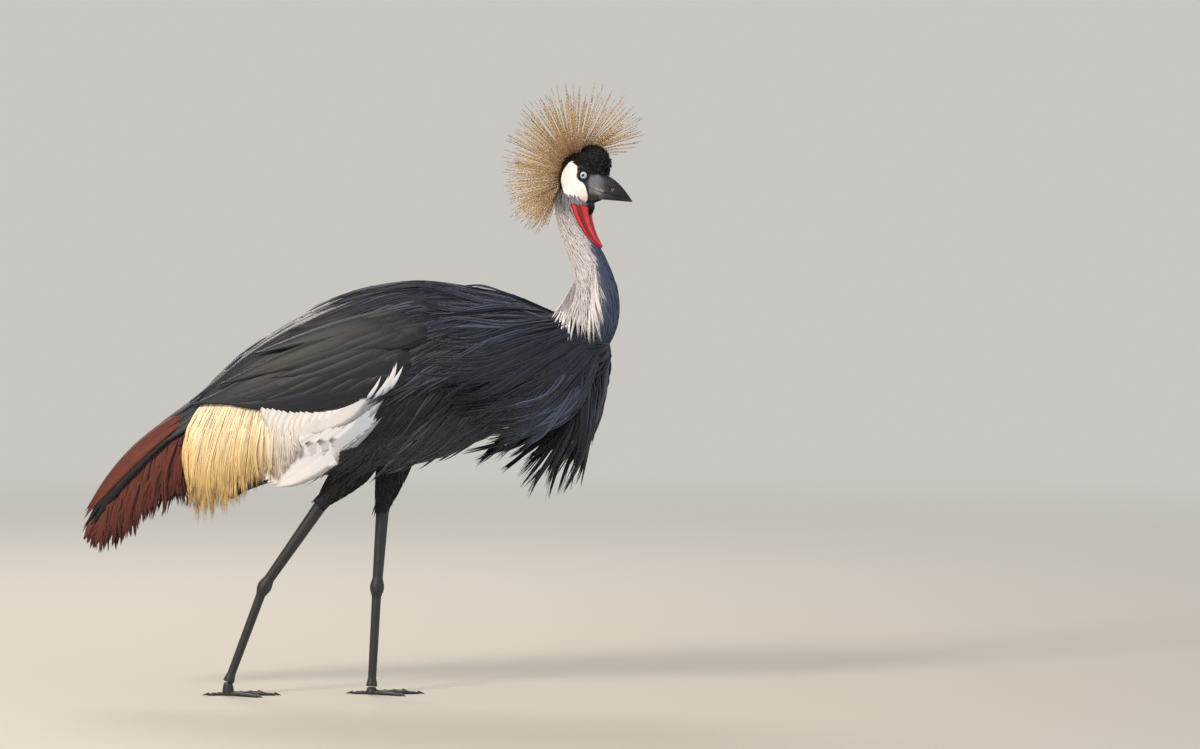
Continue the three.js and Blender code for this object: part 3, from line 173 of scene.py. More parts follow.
@dataclass(frozen=True)
class Line:
    """A smooth line through rows of numbers that are evenly spaced along it."""

    rows: tuple[tuple[float, ...], ...]

    def _spans(self, share: Array) -> tuple[Array, Array, Array, Array, Array]:
        """Finds what each share lies between.

        Args:
            share: Places along the line, from 0 to 1.

        Returns:
            The four rows about each place, and how far it is between the middle two.
        """
        p = np.array(self.rows, float)
        p = np.vstack([2 * p[0] - p[1], p, 2 * p[-1] - p[-2]])
        t = np.clip(share, 0, 1) * (len(self.rows) - 1)
        i = np.minimum(t.astype(int), len(self.rows) - 2)
        return p[i], p[i + 1], p[i + 2], p[i + 3], (t - i)[..., None]

    def at(self, share: Array) -> Array:
        """Reads the line.

        Args:
            share: Places along it, from 0 to 1.

        Returns:
            The row of numbers there.
        """
        a, b, c, d, w = self._spans(np.asarray(share, float))
        bend, twist = 2 * a - 5 * b + 4 * c - d, 3 * b - a - 3 * c + d
        return 0.5 * (2 * b + (c - a) * w + bend * w**2 + twist * w**3)

    def slope(self, share: Array) -> Array:
        """Reads the line's slope.

        Args:
            share: Places along it, from 0 to 1.

        Returns:
            How fast the row changes there, for each step between rows.
        """
        a, b, c, d, w = self._spans(np.asarray(share, float))
        bend, twist = 2 * a - 5 * b + 4 * c - d, 3 * b - a - 3 * c + d
        return 0.5 * ((c - a) + 2 * bend * w + 3 * twist * w**2)


@dataclass(frozen=True)
class Trunk:
    """A length of the bird as sections along a line in its middle plane.

    Each station gives x, z, the reach above and below the line, and the half width. sense is 1 where the
    stations run backwards and angle 0 is the back, and -1 where they run up and angle 0 is the nape.
    """

    stations: tuple[tuple[float, ...], ...]
    sense: float

    @property
    def last(self) -> int:
        """The last station's number."""
        return len(self.stations) - 1

    def section(self, station: Array) -> tuple[Array, Array, Array, Array]:
        """Reads the sections.

        Args:
            station: Places along the line.

        Returns:
            The line's place, heading and upward way there, and the section's sizes.
        """
        line = Line(self.stations)
        share = np.asarray(station, float) / self.last
        rows, slope = line.at(share), line.slope(share)
        along = unit(slope[..., :2])
        up = np.stack([along[..., 1], -along[..., 0]], -1) * self.sense
        return rows[..., :2], along, up, rows[..., 2:]

    def speed(self, station: Array) -> Array:
        """Millimetres along the line for each station."""
        slope = Line(self.stations).slope(np.asarray(station, float) / self.last)
        return np.linalg.norm(slope[..., :2], axis=-1)

    def point(
        self, station: Array, angle: Array, lift: Array = 0.0, reach: Array = 1.0
    ) -> tuple[Array, Array]:
        """Places on the surface, and the way it faces there.

        Args:
            station: Where along the line.
            angle: Where round it, in radians from the back or nape.
            lift: Height over the surface.
            reach: Share of the way from the line to the surface.

        Returns:
            Places and unit vectors.
        """
        middle, _, up, size = self.section(station)
        high = np.where(np.cos(angle) > 0, size[..., 0], size[..., 1])
        out = unit(np.stack([np.cos(angle) / high, np.sin(angle) / size[..., 2]], -1))
        rise = reach * high * np.cos(angle) + lift * out[..., 0]
        aside = reach * size[..., 2] * np.sin(angle) + lift * out[..., 1]
        spot = middle + rise[..., None] * up
        face = out[..., :1] * up
        return (
            np.stack([spot[..., 0], aside, spot[..., 1]], -1),
            np.stack([face[..., 0], out[..., 1] + 0 * face[..., 0], face[..., 1]], -1),
        )

    def meet(self, x: Array, z: Array, lift: Array) -> dict[str, Array]:
        """Where places in the side view meet the surface, lift out from it.

        Args:
            x: Places ahead.
            z: Places up.
            lift: Height over the surface.

        Returns:
            The half width there as y, the section's half width, the way the surface faces, station and angle.
        """
        low, high = np.zeros(x.shape), np.ones(x.shape)
        line = Line(self.stations)
        for _ in range(HALVINGS):
            share = (low + high) / 2
            rows, slope = line.at(share), line.slope(share)
            ahead = (x - rows[..., 0]) * slope[..., 0] + (z - rows[..., 1]) * slope[..., 1] > 0
            low, high = np.where(ahead, share, low), np.where(ahead, high, share)
        middle, _, up, size = self.section(low * self.last)
        rise = (x - middle[..., 0]) * up[..., 0] + (z - middle[..., 1]) * up[..., 1]
        tall = np.where(rise > 0, size[..., 0], size[..., 1]) + lift
        wide = size[..., 2] + lift
        level = np.clip(rise / tall, -RIM, RIM)
        flat = np.sqrt(1 - level**2)
        tip = up * (level / tall)[..., None]
        face = unit(np.stack([tip[..., 0], flat / wide, tip[..., 1]], -1))
        found = {"y": wide * flat, "wide": wide, "face": face}
        return found | {"station": low * self.last, "angle": np.arccos(level)}


BODY = Trunk(
    (
        (468, 651, 14, 14, 14),
        (429, 644, 56, 70, 54),
        (352, 629, 78, 92, 80),
        (259, 618, 120, 96, 96),
        (148, 596, 165, 114, 102),
        (37, 566, 178, 134, 100),
        (-74, 537, 160, 128, 90),
        (-167, 507, 132, 108, 74),
        (-250, 466, 98, 94, 56),
        (-324, 414, 98, 84, 44),
        (-398, 355, 92, 46, 34),
        (-475, 283, 58, 20, 18),
    ),
    1,
)
NECK = Trunk(
    (
        (405, 640, 40, 40, 44),
        (431, 696, 46, 44, 41),
        (437, 747, 38, 38, 34),
        (426, 796, 32, 31, 28),
        (407, 838, 28, 28, 25),
        (394, 881, 29, 28, 25),
        (394, 914, 31, 31, 25),
        (400, 940, 26, 26, 21),
    ),
    -1,
)
# Millimetres of the head's side view across the skin's map.
HEAD_MAP = 250
# Plumage hangs straight down where the body's half width falls below this share of its widest.
DRAPE = 0.8
# Millimetres in one unit of the vane's map, and how long a streak of barbs is for its width.
VANE_UNIT = 100
STREAK = 22


def settle(x: Array, z: Array, lift: Array, side: Side) -> tuple[Array, Array]:
    """Lays places of the side view on body or neck, whichever is wider, or lets them hang below the body.

    Args:
        x: Places ahead.
        z: Places up.
        lift: Height over the surface.
        side: Which side of the bird.

    Returns:
        Places and the way that the plumage faces there.
    """
    trunk, throat = BODY.meet(x, z, lift), NECK.meet(x, z, lift)
    hanging = DRAPE * trunk["wide"]
    over_neck = (throat["y"] > trunk["y"]) & (throat["y"] > hanging)
    hangs = ~over_neck & (trunk["angle"] > math.pi / 2) & (trunk["y"] < hanging)
    y = np.where(over_neck, throat["y"], np.where(hangs, hanging, trunk["y"]))
    face = np.where(over_neck[..., None], throat["face"], trunk["face"])
    face = np.where(hangs[..., None], np.array([0.0, 1.0, 0.0]), face)
    turn = np.array([1.0, side.value, 1.0])
    return np.stack([x, y, z], -1) * turn, face * turn


class Palette:
    """Colours of plumage, bare skin and horn, with the painted highlights, sheen and shade among them."""

    slate: Array = linear("#1b1d25")
    # Painted sheen: the paler tint that the edges of the slate scapulars take where light catches them.
    slate_edge_sheen: Array = linear("#42444d")
    back: Array = linear("#232733")
    # Painted sheen: the paler tint on the rims of the back's feathers and along some mantle plumes, where
    # light catches them.
    back_sheen: Array = linear("#4e5266")
    blue: Array = linear("#1a2232")
    # Painted highlight: the paler grey-blue of plume locks that catch the light.
    blue_highlight: Array = linear("#46546e")
    belly: Array = linear("#101219")
    belly_light: Array = linear("#3f434e")
    neck: Array = linear("#c6c1c6")
    neck_tip: Array = linear("#ece8e8")
    # Painted shade: the slate blue of the neck's front, which lies in shadow.
    neck_front_shade: Array = linear("#46506a")
    neck_top: Array = linear("#6b686d")
    white: Array = linear("#e4e0e2")
    # Painted shade: the blue-grey at the front of the white coverts, by each feather's root, where they lie
    # in shadow.
    white_shade_blue: Array = linear("#b4bfd0")
    gold: Array = linear("#e6c78c")
    gold_pale: Array = linear("#fbeed2")
    # Painted shade: the brown that some gold plumes take, standing in for shadow among them.
    gold_shade: Array = linear("#bd9557")
    chestnut: Array = linear("#5f2a22")
    chestnut_dark: Array = linear("#2b1516")
    black: Array = linear("#131318")
    velvet: Array = linear("#050506")
    # Painted highlight: the curls at the cap's front are lighter than the velvet, as glossy tufts catching
    # the light.
    curl: Array = linear("#26282f")
    cheek: Array = linear("#faf6f5")
    cheek_low: Array = linear("#e9d9d8")
    face: Array = linear("#2a2b30")
    gape: Array = linear("#b5a6a4")
    # The lores' grey is partly the bare skin's own and partly a painted sheen.
    lore: Array = linear("#83858c")
    claw: Array = linear("#1c1d21")
    iris: Array = linear("#a9c0d8")
    iris_ray: Array = linear("#c9d8e8")
    iris_rim: Array = linear("#54687e")
    lid: Array = linear("#08080a")
    pupil: Array = linear("#020203")
    bill: Array = linear("#2a2b31")
    bill_root: Array = linear("#505259")
    bill_tip: Array = linear("#0b0c11")
    # Painted shade: the black inside the nostril's opening.
    nostril: Array = linear("#020202")
    wattle: Array = linear("#e2242f")
    # Painted shade: the dark red in the valleys between the wattle's folds and at its edges.
    wattle_fold_shade: Array = linear("#7d0c16")
    leg: Array = linear("#16171a")
    leg_light: Array = linear("#3a3c42")
    straw: Array = linear("#f2b65a")
    # Painted highlight: the pale glints along each twisted bristle of the crest.
    straw_highlight: Array = linear("#fff4d8")
    straw_root: Array = linear("#eab98c")
    straw_dark: Array = linear("#4c3a28")


HUES = Palette()


def add_node(
    tree: bpy.types.NodeTree, kind: str, inputs: dict | None = None, **settings: object
) -> bpy.types.Node:
    """Adds a node with its settings and links.

    Args:
        tree: The material's nodes.
        kind: The node's type.
        inputs: For each input's name or number, a value or the output that feeds it.
        settings: The node's own settings.

    Returns:
        The node.
    """
    made = tree.nodes.new(kind)
    for name, value in settings.items():
        setattr(made, name, value)
    for name, value in (inputs or {}).items():
        if isinstance(value, bpy.types.NodeSocket):
            tree.links.new(value, made.inputs[name])
        else:
            made.inputs[name].default_value = value
    return made


def new_material(name: str) -> tuple[bpy.types.Material, bpy.types.NodeTree]:
    """Makes an empty node material.

    Args:
        name: Its name.

    Returns:
        The material and its nodes.
    """
    made = bpy.data.materials.new(name)
    made.use_nodes = True
    made.node_tree.nodes.clear()
    return made, made.node_tree


def vary(
    tree: bpy.types.NodeTree, pattern: bpy.types.NodeSocket, contrast: float
) -> bpy.types.NodeSocket:
    """Makes a mesh's tint lighter and darker by a pattern.

    Args:
        tree: The material's nodes.
        pattern: A noise, whose values lie mostly between 0.3 and 0.7.
        contrast: How far the tint goes either way, as a share of it.

    Returns:
        The colour.
    """
    tint = add_node(tree, "ShaderNodeAttribute", attribute_name="tint")
    low, high = 1 - contrast, 1 + contrast
    reach = {"Value": pattern, "From Min": 0.3, "From Max": 0.7, "To Min": low, "To Max": high}
    shade = add_node(tree, "ShaderNodeMapRange", reach)
    scaled = {0: tint.outputs["Color"], "Scale": shade.outputs["Result"]}
    return add_node(tree, "ShaderNodeVectorMath", scaled, operation="SCALE").outputs["Vector"]


@dataclass(frozen=True)
class FeatherFinish:
    """Feather: keratin barbs zipped to a shaft, a dull cloth of fine threads with a soft sheen.

    barb is the width of one streak of barbs in millimetres, drawn wider than the real 0.3 so that it shows.
    Each streak is STREAK times as long as it is wide.
    """

    name: str
    rough: float = 0.62
    sheen: float = 0.12
    barb: float = 1.1
    contrast: float = 0.3
    relief: float = 0.25
    specular: float = 0.3

    def make(self) -> bpy.types.Material:
        """Streaks along the feather, drawn from the feather's own map, vary its tint and its relief."""
        made, tree = new_material(self.name)
        vane = add_node(tree, "ShaderNodeUVMap", uv_map="vane")
        scale = (VANE_UNIT / self.barb, VANE_UNIT / (self.barb * STREAK), 1.0)
        fine = add_node(tree, "ShaderNodeMapping", {"Vector": vane.outputs["UV"], "Scale": scale})
        streaks = {"Vector": fine.outputs["Vector"], "Scale": 1.0, "Detail": 3.0}
        streak = add_node(tree, "ShaderNodeTexNoise", streaks)
        relief = {"Height": streak.outputs["Fac"], "Strength": self.relief, "Distance": 0.4 * MM}
        bump = add_node(tree, "ShaderNodeBump", relief)
        surface = add_node(
            tree,
            "ShaderNodeBsdfPrincipled",
            {
                "Base Color": vary(tree, streak.outputs["Fac"], self.contrast),
                "Roughness": self.rough,
                "Specular IOR Level": self.specular,
                "Sheen Weight": self.sheen,
                "Sheen Roughness": 0.4,
                "Normal": bump.outputs["Normal"],
            },
        )
        add_node(tree, "ShaderNodeOutputMaterial", {"Surface": surface.outputs["BSDF"]})
        return made


@dataclass(frozen=True)
class SkinFinish:
    """Bare skin and scale: matt, finely grained, with a faint moist gloss.

    grain is a pore's width and mottle a blotch's, in millimetres.
    """

    name: str
    rough: float = 0.5
    grain: float = 0.8
    mottle: float = 7.0
    contrast: float = 0.15
    relief: float = 0.3
    soft: float = 0.0
    coat: float = 0.0

    def make(self) -> bpy.types.Material:
        """Fine pores in the relief and a broad faint mottling of the tint."""
        made, tree = new_material(self.name)
        spot = add_node(tree, "ShaderNodeTexCoord")
        blotches = {"Vector": spot.outputs["Object"], "Scale": 1 / (self.mottle * MM), "Detail": 4.0}
        broad = add_node(tree, "ShaderNodeTexNoise", blotches)
        fine = {"Vector": spot.outputs["Object"], "Scale": 1 / (self.grain * MM)}
        pores = add_node(tree, "ShaderNodeTexVoronoi", fine)
        relief = {"Height": pores.outputs["Distance"], "Strength": self.relief, "Distance": 0.3 * MM}
        bump = add_node(tree, "ShaderNodeBump", relief)
        surface = add_node(
            tree,
            "ShaderNodeBsdfPrincipled",
            {
                "Base Color": vary(tree, broad.outputs["Fac"], self.contrast),
                "Roughness": self.rough,
                "Subsurface Weight": self.soft,
                "Subsurface Scale": 0.002,
                "Coat Weight": self.coat,
                "Coat Roughness": 0.2,
                "Normal": bump.outputs["Normal"],
            },
        )
        add_node(tree, "ShaderNodeOutputMaterial", {"Surface": surface.outputs["BSDF"]})
        return made


@dataclass(frozen=True)
class HornFinish:
    """Horn: dense keratin, smooth and glossy, with growth lines. line is their spacing in millimetres."""

    name: str
    rough: float = 0.28
    line: float = 1.6
    coat: float = 0.35

    def make(self) -> bpy.types.Material:
        """Faint growth lines in the relief and in the roughness."""
        made, tree = new_material(self.name)
        tint = add_node(tree, "ShaderNodeAttribute", attribute_name="tint")
        spot = add_node(tree, "ShaderNodeTexCoord")
        growth = {"Vector": spot.outputs["Object"], "Scale": 1 / (self.line * MM), "Detail": 3.0}
        lines = add_node(tree, "ShaderNodeTexNoise", growth)
        worn = {"Value": lines.outputs["Fac"], "To Min": self.rough * 0.7, "To Max": self.rough * 1.4}
        gloss = add_node(tree, "ShaderNodeMapRange", worn)
        relief = {"Height": lines.outputs["Fac"], "Strength": 0.12, "Distance": 0.3 * MM}
        bump = add_node(tree, "ShaderNodeBump", relief)
        surface = add_node(
            tree,
            "ShaderNodeBsdfPrincipled",
            {
                "Base Color": tint.outputs["Color"],
                "Roughness": gloss.outputs["Result"],
                "Coat Weight": self.coat,
                "Coat Roughness": 0.12,
                "Normal": bump.outputs["Normal"],
            },
        )
        add_node(tree, "ShaderNodeOutputMaterial", {"Surface": surface.outputs["BSDF"]})
        return made


@dataclass(frozen=True)
class Ring:
    """The section of a feather: each corner's shares of the half width, the camber and the thickness."""

    across: tuple[float, ...]
    camber: tuple[float, ...]
    thick: tuple[float, ...]


LOCK = Ring((-1, 0, 1), (0, 1, 0), (0, 1, 0))
# Each feather starts this much further along the streaks' pattern than the one before, so no two are alike.
VANE_STEP = 0.371
VANE = Ring((-1, -0.5, 0, 0.5, 1, 0), (0, 0.75, 1, 0.75, 0, 1), (0, 0.4, 1, 0.4, 0, -0.6))


@dataclass
class Sheaf:
    """Closed bodies gathered in one mesh. Each corner has a tint and a place on two maps, skin and vane."""

    name: str
    spots: list[Array] = field(default_factory=list)
    faces: list[Array] = field(default_factory=list)
    tints: list[Array] = field(default_factory=list)
    patches: list[Array] = field(default_factory=list)
    vanes: list[Array] = field(default_factory=list)
    count: int = 0

    def add(
        self, spots: Array, faces: Array, tints: Array, patches: Array, vanes: Array | None = None
    ) -> None:
        """Adds a body to the mesh.

        Args:
            spots: Its corners.
            faces: Its triangles.
            tints: A tint for all of it or for each corner.
            patches: A place on the skin's map for all of it or for each corner.
            vanes: Each corner's place on the vane's map, in decimetres.
        """
        self.spots.append(spots)
        self.faces.append(faces + self.count)
        self.tints.append(np.broadcast_to(tints, spots.shape))
        self.patches.append(np.broadcast_to(patches, (len(spots), 2)))
        self.vanes.append(np.zeros((len(spots), 2)) if vanes is None else vanes)
        self.count += len(spots)

    def blades(
        self,
        line: Array,
        up: Array,
        half: Array,
        tints: Array,
        roots: Array,
        ring: Ring = LOCK,
        thick: float = 0.5,
        camber: float = 0.15,
        rim: Array | None = None,
        rim_share: float = 0.5,
    ) -> None:
        """Adds feathers, each a closed blade along its own line.

        Args:
            line: Places along each feather's middle, as feathers, rows and x, y, z.
            up: The way that each row faces.
            half: Half width at each row.
            tints: Colour of each row.
            roots: Each root's place on the skin's map.
            ring: The blade's section.
            thick: Thickness in millimetres.
            camber: Rise of the middle over the edges, as a share of the half width.
            rim: Colour of the edges.
            rim_share: How much of the edge's colour is the rim's.
        """
        n, r = line.shape[:2]
        a, c, t = (np.array(v, float) for v in (ring.across, ring.camber, ring.thick))
        k = len(a)
        along = unit(np.gradient(line, axis=1))
        across = unit(np.cross(along, up))
        out = np.cross(across, along)
        rise = half[..., None] * c * camber + thick * t
        spots = line[:, :, None] + across[:, :, None] * (half[..., None] * a)[..., None]
        spots = spots + out[:, :, None] * rise[..., None]
        share = np.linspace(0, 1, r)
        patch = roots[:, None, None] + PATCH * np.stack(
            np.broadcast_arrays(a[None, None] * 0.5, share[None, :, None] - 0.5), -1
        )
        length = np.linalg.norm(np.diff(line, axis=1), axis=-1).sum(1)
        along_vane = (share[None] * length[:, None])[..., None] / VANE_UNIT
        vane = np.stack(np.broadcast_arrays(a * half[..., None] / VANE_UNIT, along_vane), -1)
        vane = vane + (np.arange(n) * VANE_STEP)[:, None, None, None]
        colour = np.repeat(tints[:, :, None], k, 2)
        if rim is not None:
            colour = mix(colour, rim, (rim_share * np.abs(a) ** 2)[None, None, :, None])
        i, j, m = np.meshgrid(np.arange(n), np.arange(r - 1), np.arange(k), indexing="ij")
        m2 = (m + 1) % k
        base = (i * r + j) * k
        quads = np.stack([base + m, base + m2, base + k + m2, base + k + m], -1).reshape(-1, 4)
        first = np.arange(n)[:, None] * r * k
        fan = np.array([[0, q, q + 1] for q in range(1, k - 1)])
        caps = [(first + fan[:, [0, 2, 1]].reshape(1, -1)).reshape(-1, 3)]
        caps.append((first + (r - 1) * k + fan.reshape(1, -1)).reshape(-1, 3))
        faces = np.concatenate([quads[:, [0, 1, 2]], quads[:, [0, 2, 3]], *caps])
        patch = np.broadcast_to(patch, spots.shape[:3] + (2,)).reshape(-1, 2)
        self.add(spots.reshape(-1, 3), faces, colour.reshape(-1, 3), patch, vane.reshape(-1, 2))

    def build(self, finish: bpy.types.Material, slot: str, replaced: tuple[str, ...] = ()) -> None:
        """Makes the mesh and rides it on the bird.

        Args:
            finish: Its material.
            slot: Its slot in the record; not used.
            replaced: The solids that it stands for.
        """
        spots = (np.concatenate(self.spots) + ORIGIN) * MM
        made = mesh_object(self.name, spots, np.concatenate(self.faces))
        mesh = made.data
        tint = mesh.color_attributes.new("tint", "FLOAT_COLOR", "POINT")
        rgba = np.ones((len(spots), 4), np.float32)
        rgba[:, :3] = np.concatenate(self.tints)
        tint.data.foreach_set("color", rgba.ravel())
        corner = np.zeros(len(mesh.loops), np.int32)
        mesh.loops.foreach_get("vertex_index", corner)
        for name, rows in (("OFBake", self.patches), ("vane", self.vanes)):
            layer = mesh.uv_layers.new(name=name)
            layer.uv.foreach_set("vector", np.concatenate(rows)[corner].astype(np.float32).ravel())
        mesh.materials.append(finish)
        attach(made, BODY_NAME)
        if replaced:
            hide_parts(*replaced)
        log.info("%s: %d triangles", self.name, len(mesh.polygons))


def mesh_object(name: str, spots: Array, faces: Array) -> bpy.types.Object:
    """Makes a smooth-shaded mesh object.

    Args:
        name: Its name.
        spots: Its corners in metres.
        faces: Its triangles.

    Returns:
        The object, linked to the scene.
    """
    mesh = bpy.data.meshes.new(name)
    mesh.vertices.add(len(spots))
    mesh.vertices.foreach_set("co", spots.astype(np.float32).ravel())
    mesh.loops.add(faces.size)
    mesh.loops.foreach_set("vertex_index", faces.astype(np.int32).ravel())
    mesh.polygons.add(len(faces))
    mesh.polygons.foreach_set("loop_start", np.arange(0, faces.size, faces.shape[1], dtype=np.int32))
    mesh.update(calc_edges=True)
    mesh.validate()
    mesh.shade_smooth()
    made = bpy.data.objects.new(name, mesh)
    bpy.context.scene.collection.objects.link(made)
    return made


def tube(rings: Array) -> tuple[Array, Array]:
    """A closed body through rings of corners.

    Args:
        rings: Places as rings, corners and x, y, z.

    Returns:
        Corners and triangles, the two ends closed on a middle corner.
    """
    r, k = rings.shape[:2]
    j, m = np.meshgrid(np.arange(r - 1), np.arange(k), indexing="ij")
    m2 = (m + 1) % k
    quads = np.stack([j * k + m, j * k + m2, (j + 1) * k + m2, (j + 1) * k + m], -1).reshape(-1, 4)
    spots = np.concatenate([rings.reshape(-1, 3), rings[0].mean(0)[None], rings[-1].mean(0)[None]])
    m = np.arange(k)
    start = np.stack([np.full(k, r * k), (m + 1) % k, m], -1)
    end = np.stack([np.full(k, r * k + 1), (r - 1) * k + m, (r - 1) * k + (m + 1) % k], -1)
    faces = np.concatenate([quads[:, [0, 1, 2]], quads[:, [0, 2, 3]], start, end])
    if volume(spots, faces) < 0:
        faces = faces[:, ::-1]
    return spots, faces


def volume(spots: Array, faces: Array) -> float:
    """The volume inside a closed mesh, below 0 where its faces point in."""
    a, b, c = (spots[faces[:, i]] for i in range(3))
    return float((a * np.cross(b, c)).sum() / 6)


def melt(shapes: list[tuple[Array, Array]], voxel: float, rounds: int) -> tuple[Array, Array, Array]:
    """Joins overlapping closed bodies into one smooth skin.

    Args:
        shapes: Corners and triangles of each body.
        voxel: Size of the new mesh's faces in millimetres.
        rounds: How often it is smoothed.

    Returns:
        Corners, triangles and the way that each corner faces.
    """
    count, spots, faces = 0, [], []
    for points, triangles in shapes:
        spots.append(points)
        faces.append(triangles + count)
        count += len(points)
    made = mesh_object("melting", np.concatenate(spots), np.concatenate(faces))
    remesh = made.modifiers.new("melt", "REMESH")
    remesh.mode = "VOXEL"
    remesh.voxel_size = voxel
    ease = made.modifiers.new("ease", "SMOOTH")
    ease.iterations = rounds
    made.modifiers.new("split", "TRIANGULATE")
    bpy.context.view_layer.update()
    mesh = made.evaluated_get(bpy.context.evaluated_depsgraph_get()).to_mesh()
    result = np.zeros(len(mesh.vertices) * 3, np.float32)
    mesh.vertices.foreach_get("co", result)
    normals = np.zeros(len(mesh.vertices) * 3, np.float32)
    mesh.vertices.foreach_get("normal", normals)
    corners = np.zeros(len(mesh.loops), np.int32)
    mesh.loops.foreach_get("vertex_index", corners)
    bpy.data.objects.remove(made)
    spots, ways = (rows.reshape(-1, 3).astype(float) for rows in (result, normals))
    return spots, corners.reshape(-1, 3), ways


def body_patch(station: Array, angle: Array, side: Array) -> Array:
    """A place on the body skin's unwrap, which is cut along the belly.

    Args:
        station: Where along the body.
        angle: Angle from the back in radians.
        side: 1 on the left and -1 on the right.

    Returns:
        Map places from 0 to 1.
    """
    return np.stack([0.02 + 0.96 * station / BODY.last, 0.5 + 0.48 * side * angle / math.pi], -1)


def outline_of(share: Array, widest: float, blunt: bool) -> Array:
    """A feather's half width along its length.

    Args:
        share: Places along it, from 0 at the root.
        widest: Where it is widest.
        blunt: Whether its end is round and not pointed.

    Returns:
        Shares of the widest half width.
    """
    rise = mix(0.3, 1.0, np.sin(np.pi / 2 * np.clip(share / widest, 0, 1)))
    past = np.clip((share - widest) / (1 - widest), 0, 1)
    return np.where(share < widest, rise, np.maximum(0.03, 1 - past ** (3.2 if blunt else 1.7)))


@dataclass(frozen=True)
class Tier:
    """Feathers or strands laid over the body between lines of places in the side view.

    roots and tips each hold one line or two, and feathers spread between the two. bow bends a feather
    sideways as a share of its length, at the first and the last. lift and sunk are heights over the body at
    the middle and the root, and rise the shares of the length between which one turns to the other. pile
    spreads the heights. clumps draws the tips together in that many locks, which bend as one, by gather.
    """

    count: int
    roots: tuple[Places, ...]
    tips: tuple[Places, ...]
    half: float
    bow: tuple[float, float] = (0.06, 0.06)
    lift: float = 4.0
    sunk: float = 0.0
    pile: float = 0.0
    roll: float = 0.0
    rise: tuple[float, float] = (0.0, 0.3)
    widest: float = 0.5
    ragged: float = 0.06
    wave: float = 0.0
    clumps: int = 0
    gather: float = 0.7
    rows: int = 9
    blunt: bool = False
    seed: int = 1
    even: bool = False

    def lay(self, side: Side) -> tuple[Array, Array, Array, Array, Array, Array]:
        """Lays the feathers on one side.

        Args:
            side: Which side of the bird.

        Returns:
            Their lines, facings, half widths, map places, and a share across and a random share for each.
        """
        rng = np.random.default_rng(self.seed * 2 + (side is Side.LEFT))
        n = self.count
        loose = 0.25 if self.even else 1.0
        s = (np.arange(n) + 0.5 + loose * rng.uniform(-0.5, 0.5, n)) / n
        t = rng.random(n)
        root = mix(Line(self.roots[0]).at(s), Line(self.roots[-1]).at(s), t[:, None])
        aim = s + (0 if self.even else rng.normal(0, 0.35 / max(self.clumps, 12), n))
        tip = mix(Line(self.tips[0]).at(aim), Line(self.tips[-1]).at(aim), t[:, None])
        group = np.arange(n)
        if self.clumps:
            group = (np.floor(s * self.clumps) * 3 + np.floor(t * 3)).astype(int)
        shared = rng.random((int(group.max()) + 1, 5))[group]
        if self.clumps:
            lock = (np.floor(s * self.clumps) + 0.5 + 0.7 * (shared[:, 4] - 0.5)) / self.clumps
            level = (np.floor(t * 3) + 0.5) / 3
            heart = mix(Line(self.tips[0]).at(lock), Line(self.tips[-1]).at(lock), level[:, None])
            tip = mix(tip, heart, self.gather)
        short = 0.6 * shared[:, 0] + 0.4 * rng.random(n)
        tip = mix(tip, root, self.ragged * short[:, None])
        reach = tip - root
        aside = np.stack([reach[:, 1], -reach[:, 0]], -1)
        bow = mix(self.bow[0], self.bow[1], s) * mix(0.7, 1.3, shared[:, 1]) * rng.uniform(0.93, 1.07, n)
        bend = (root + tip) / 2 - aside * bow[:, None]
        w = np.linspace(0, 1, self.rows + 1)[None, :, None]
        route = root[:, None] * (1 - w) ** 2 + 2 * bend[:, None] * w * (1 - w) + tip[:, None] * w**2
        share = np.linspace(0, 1, self.rows + 1)[None]
        turn = 2 * np.pi * shared[:, 2:3] + share * mix(4, 7, shared[:, 3:4]) + rng.uniform(-0.3, 0.3, (n, 1))
        route = route + aside[:, None] * (self.wave * share * np.sin(turn))[..., None]
        high = self.lift + self.pile * (0.6 * shared[:, 3:4] + 0.4 * rng.random((n, 1)) - 0.5)
        height = mix(self.sunk, high, smooth(*self.rise, share))
        line, face = settle(route[..., 0], route[..., 1], height, side)
        if self.roll:
            across = unit(np.cross(unit(np.gradient(line, axis=1)), face))
            face = unit(face + side.value * self.roll * across)
        half = self.half * rng.uniform(0.85, 1.15, (n, 1)) * outline_of(share, self.widest, self.blunt)
        found = BODY.meet(root[:, 0], root[:, 1], np.zeros(n))
        luck = 0.65 * shared[:, 1] + 0.35 * rng.random(n)
        return line, face, half, body_patch(found["station"], found["angle"], side.value), s, luck


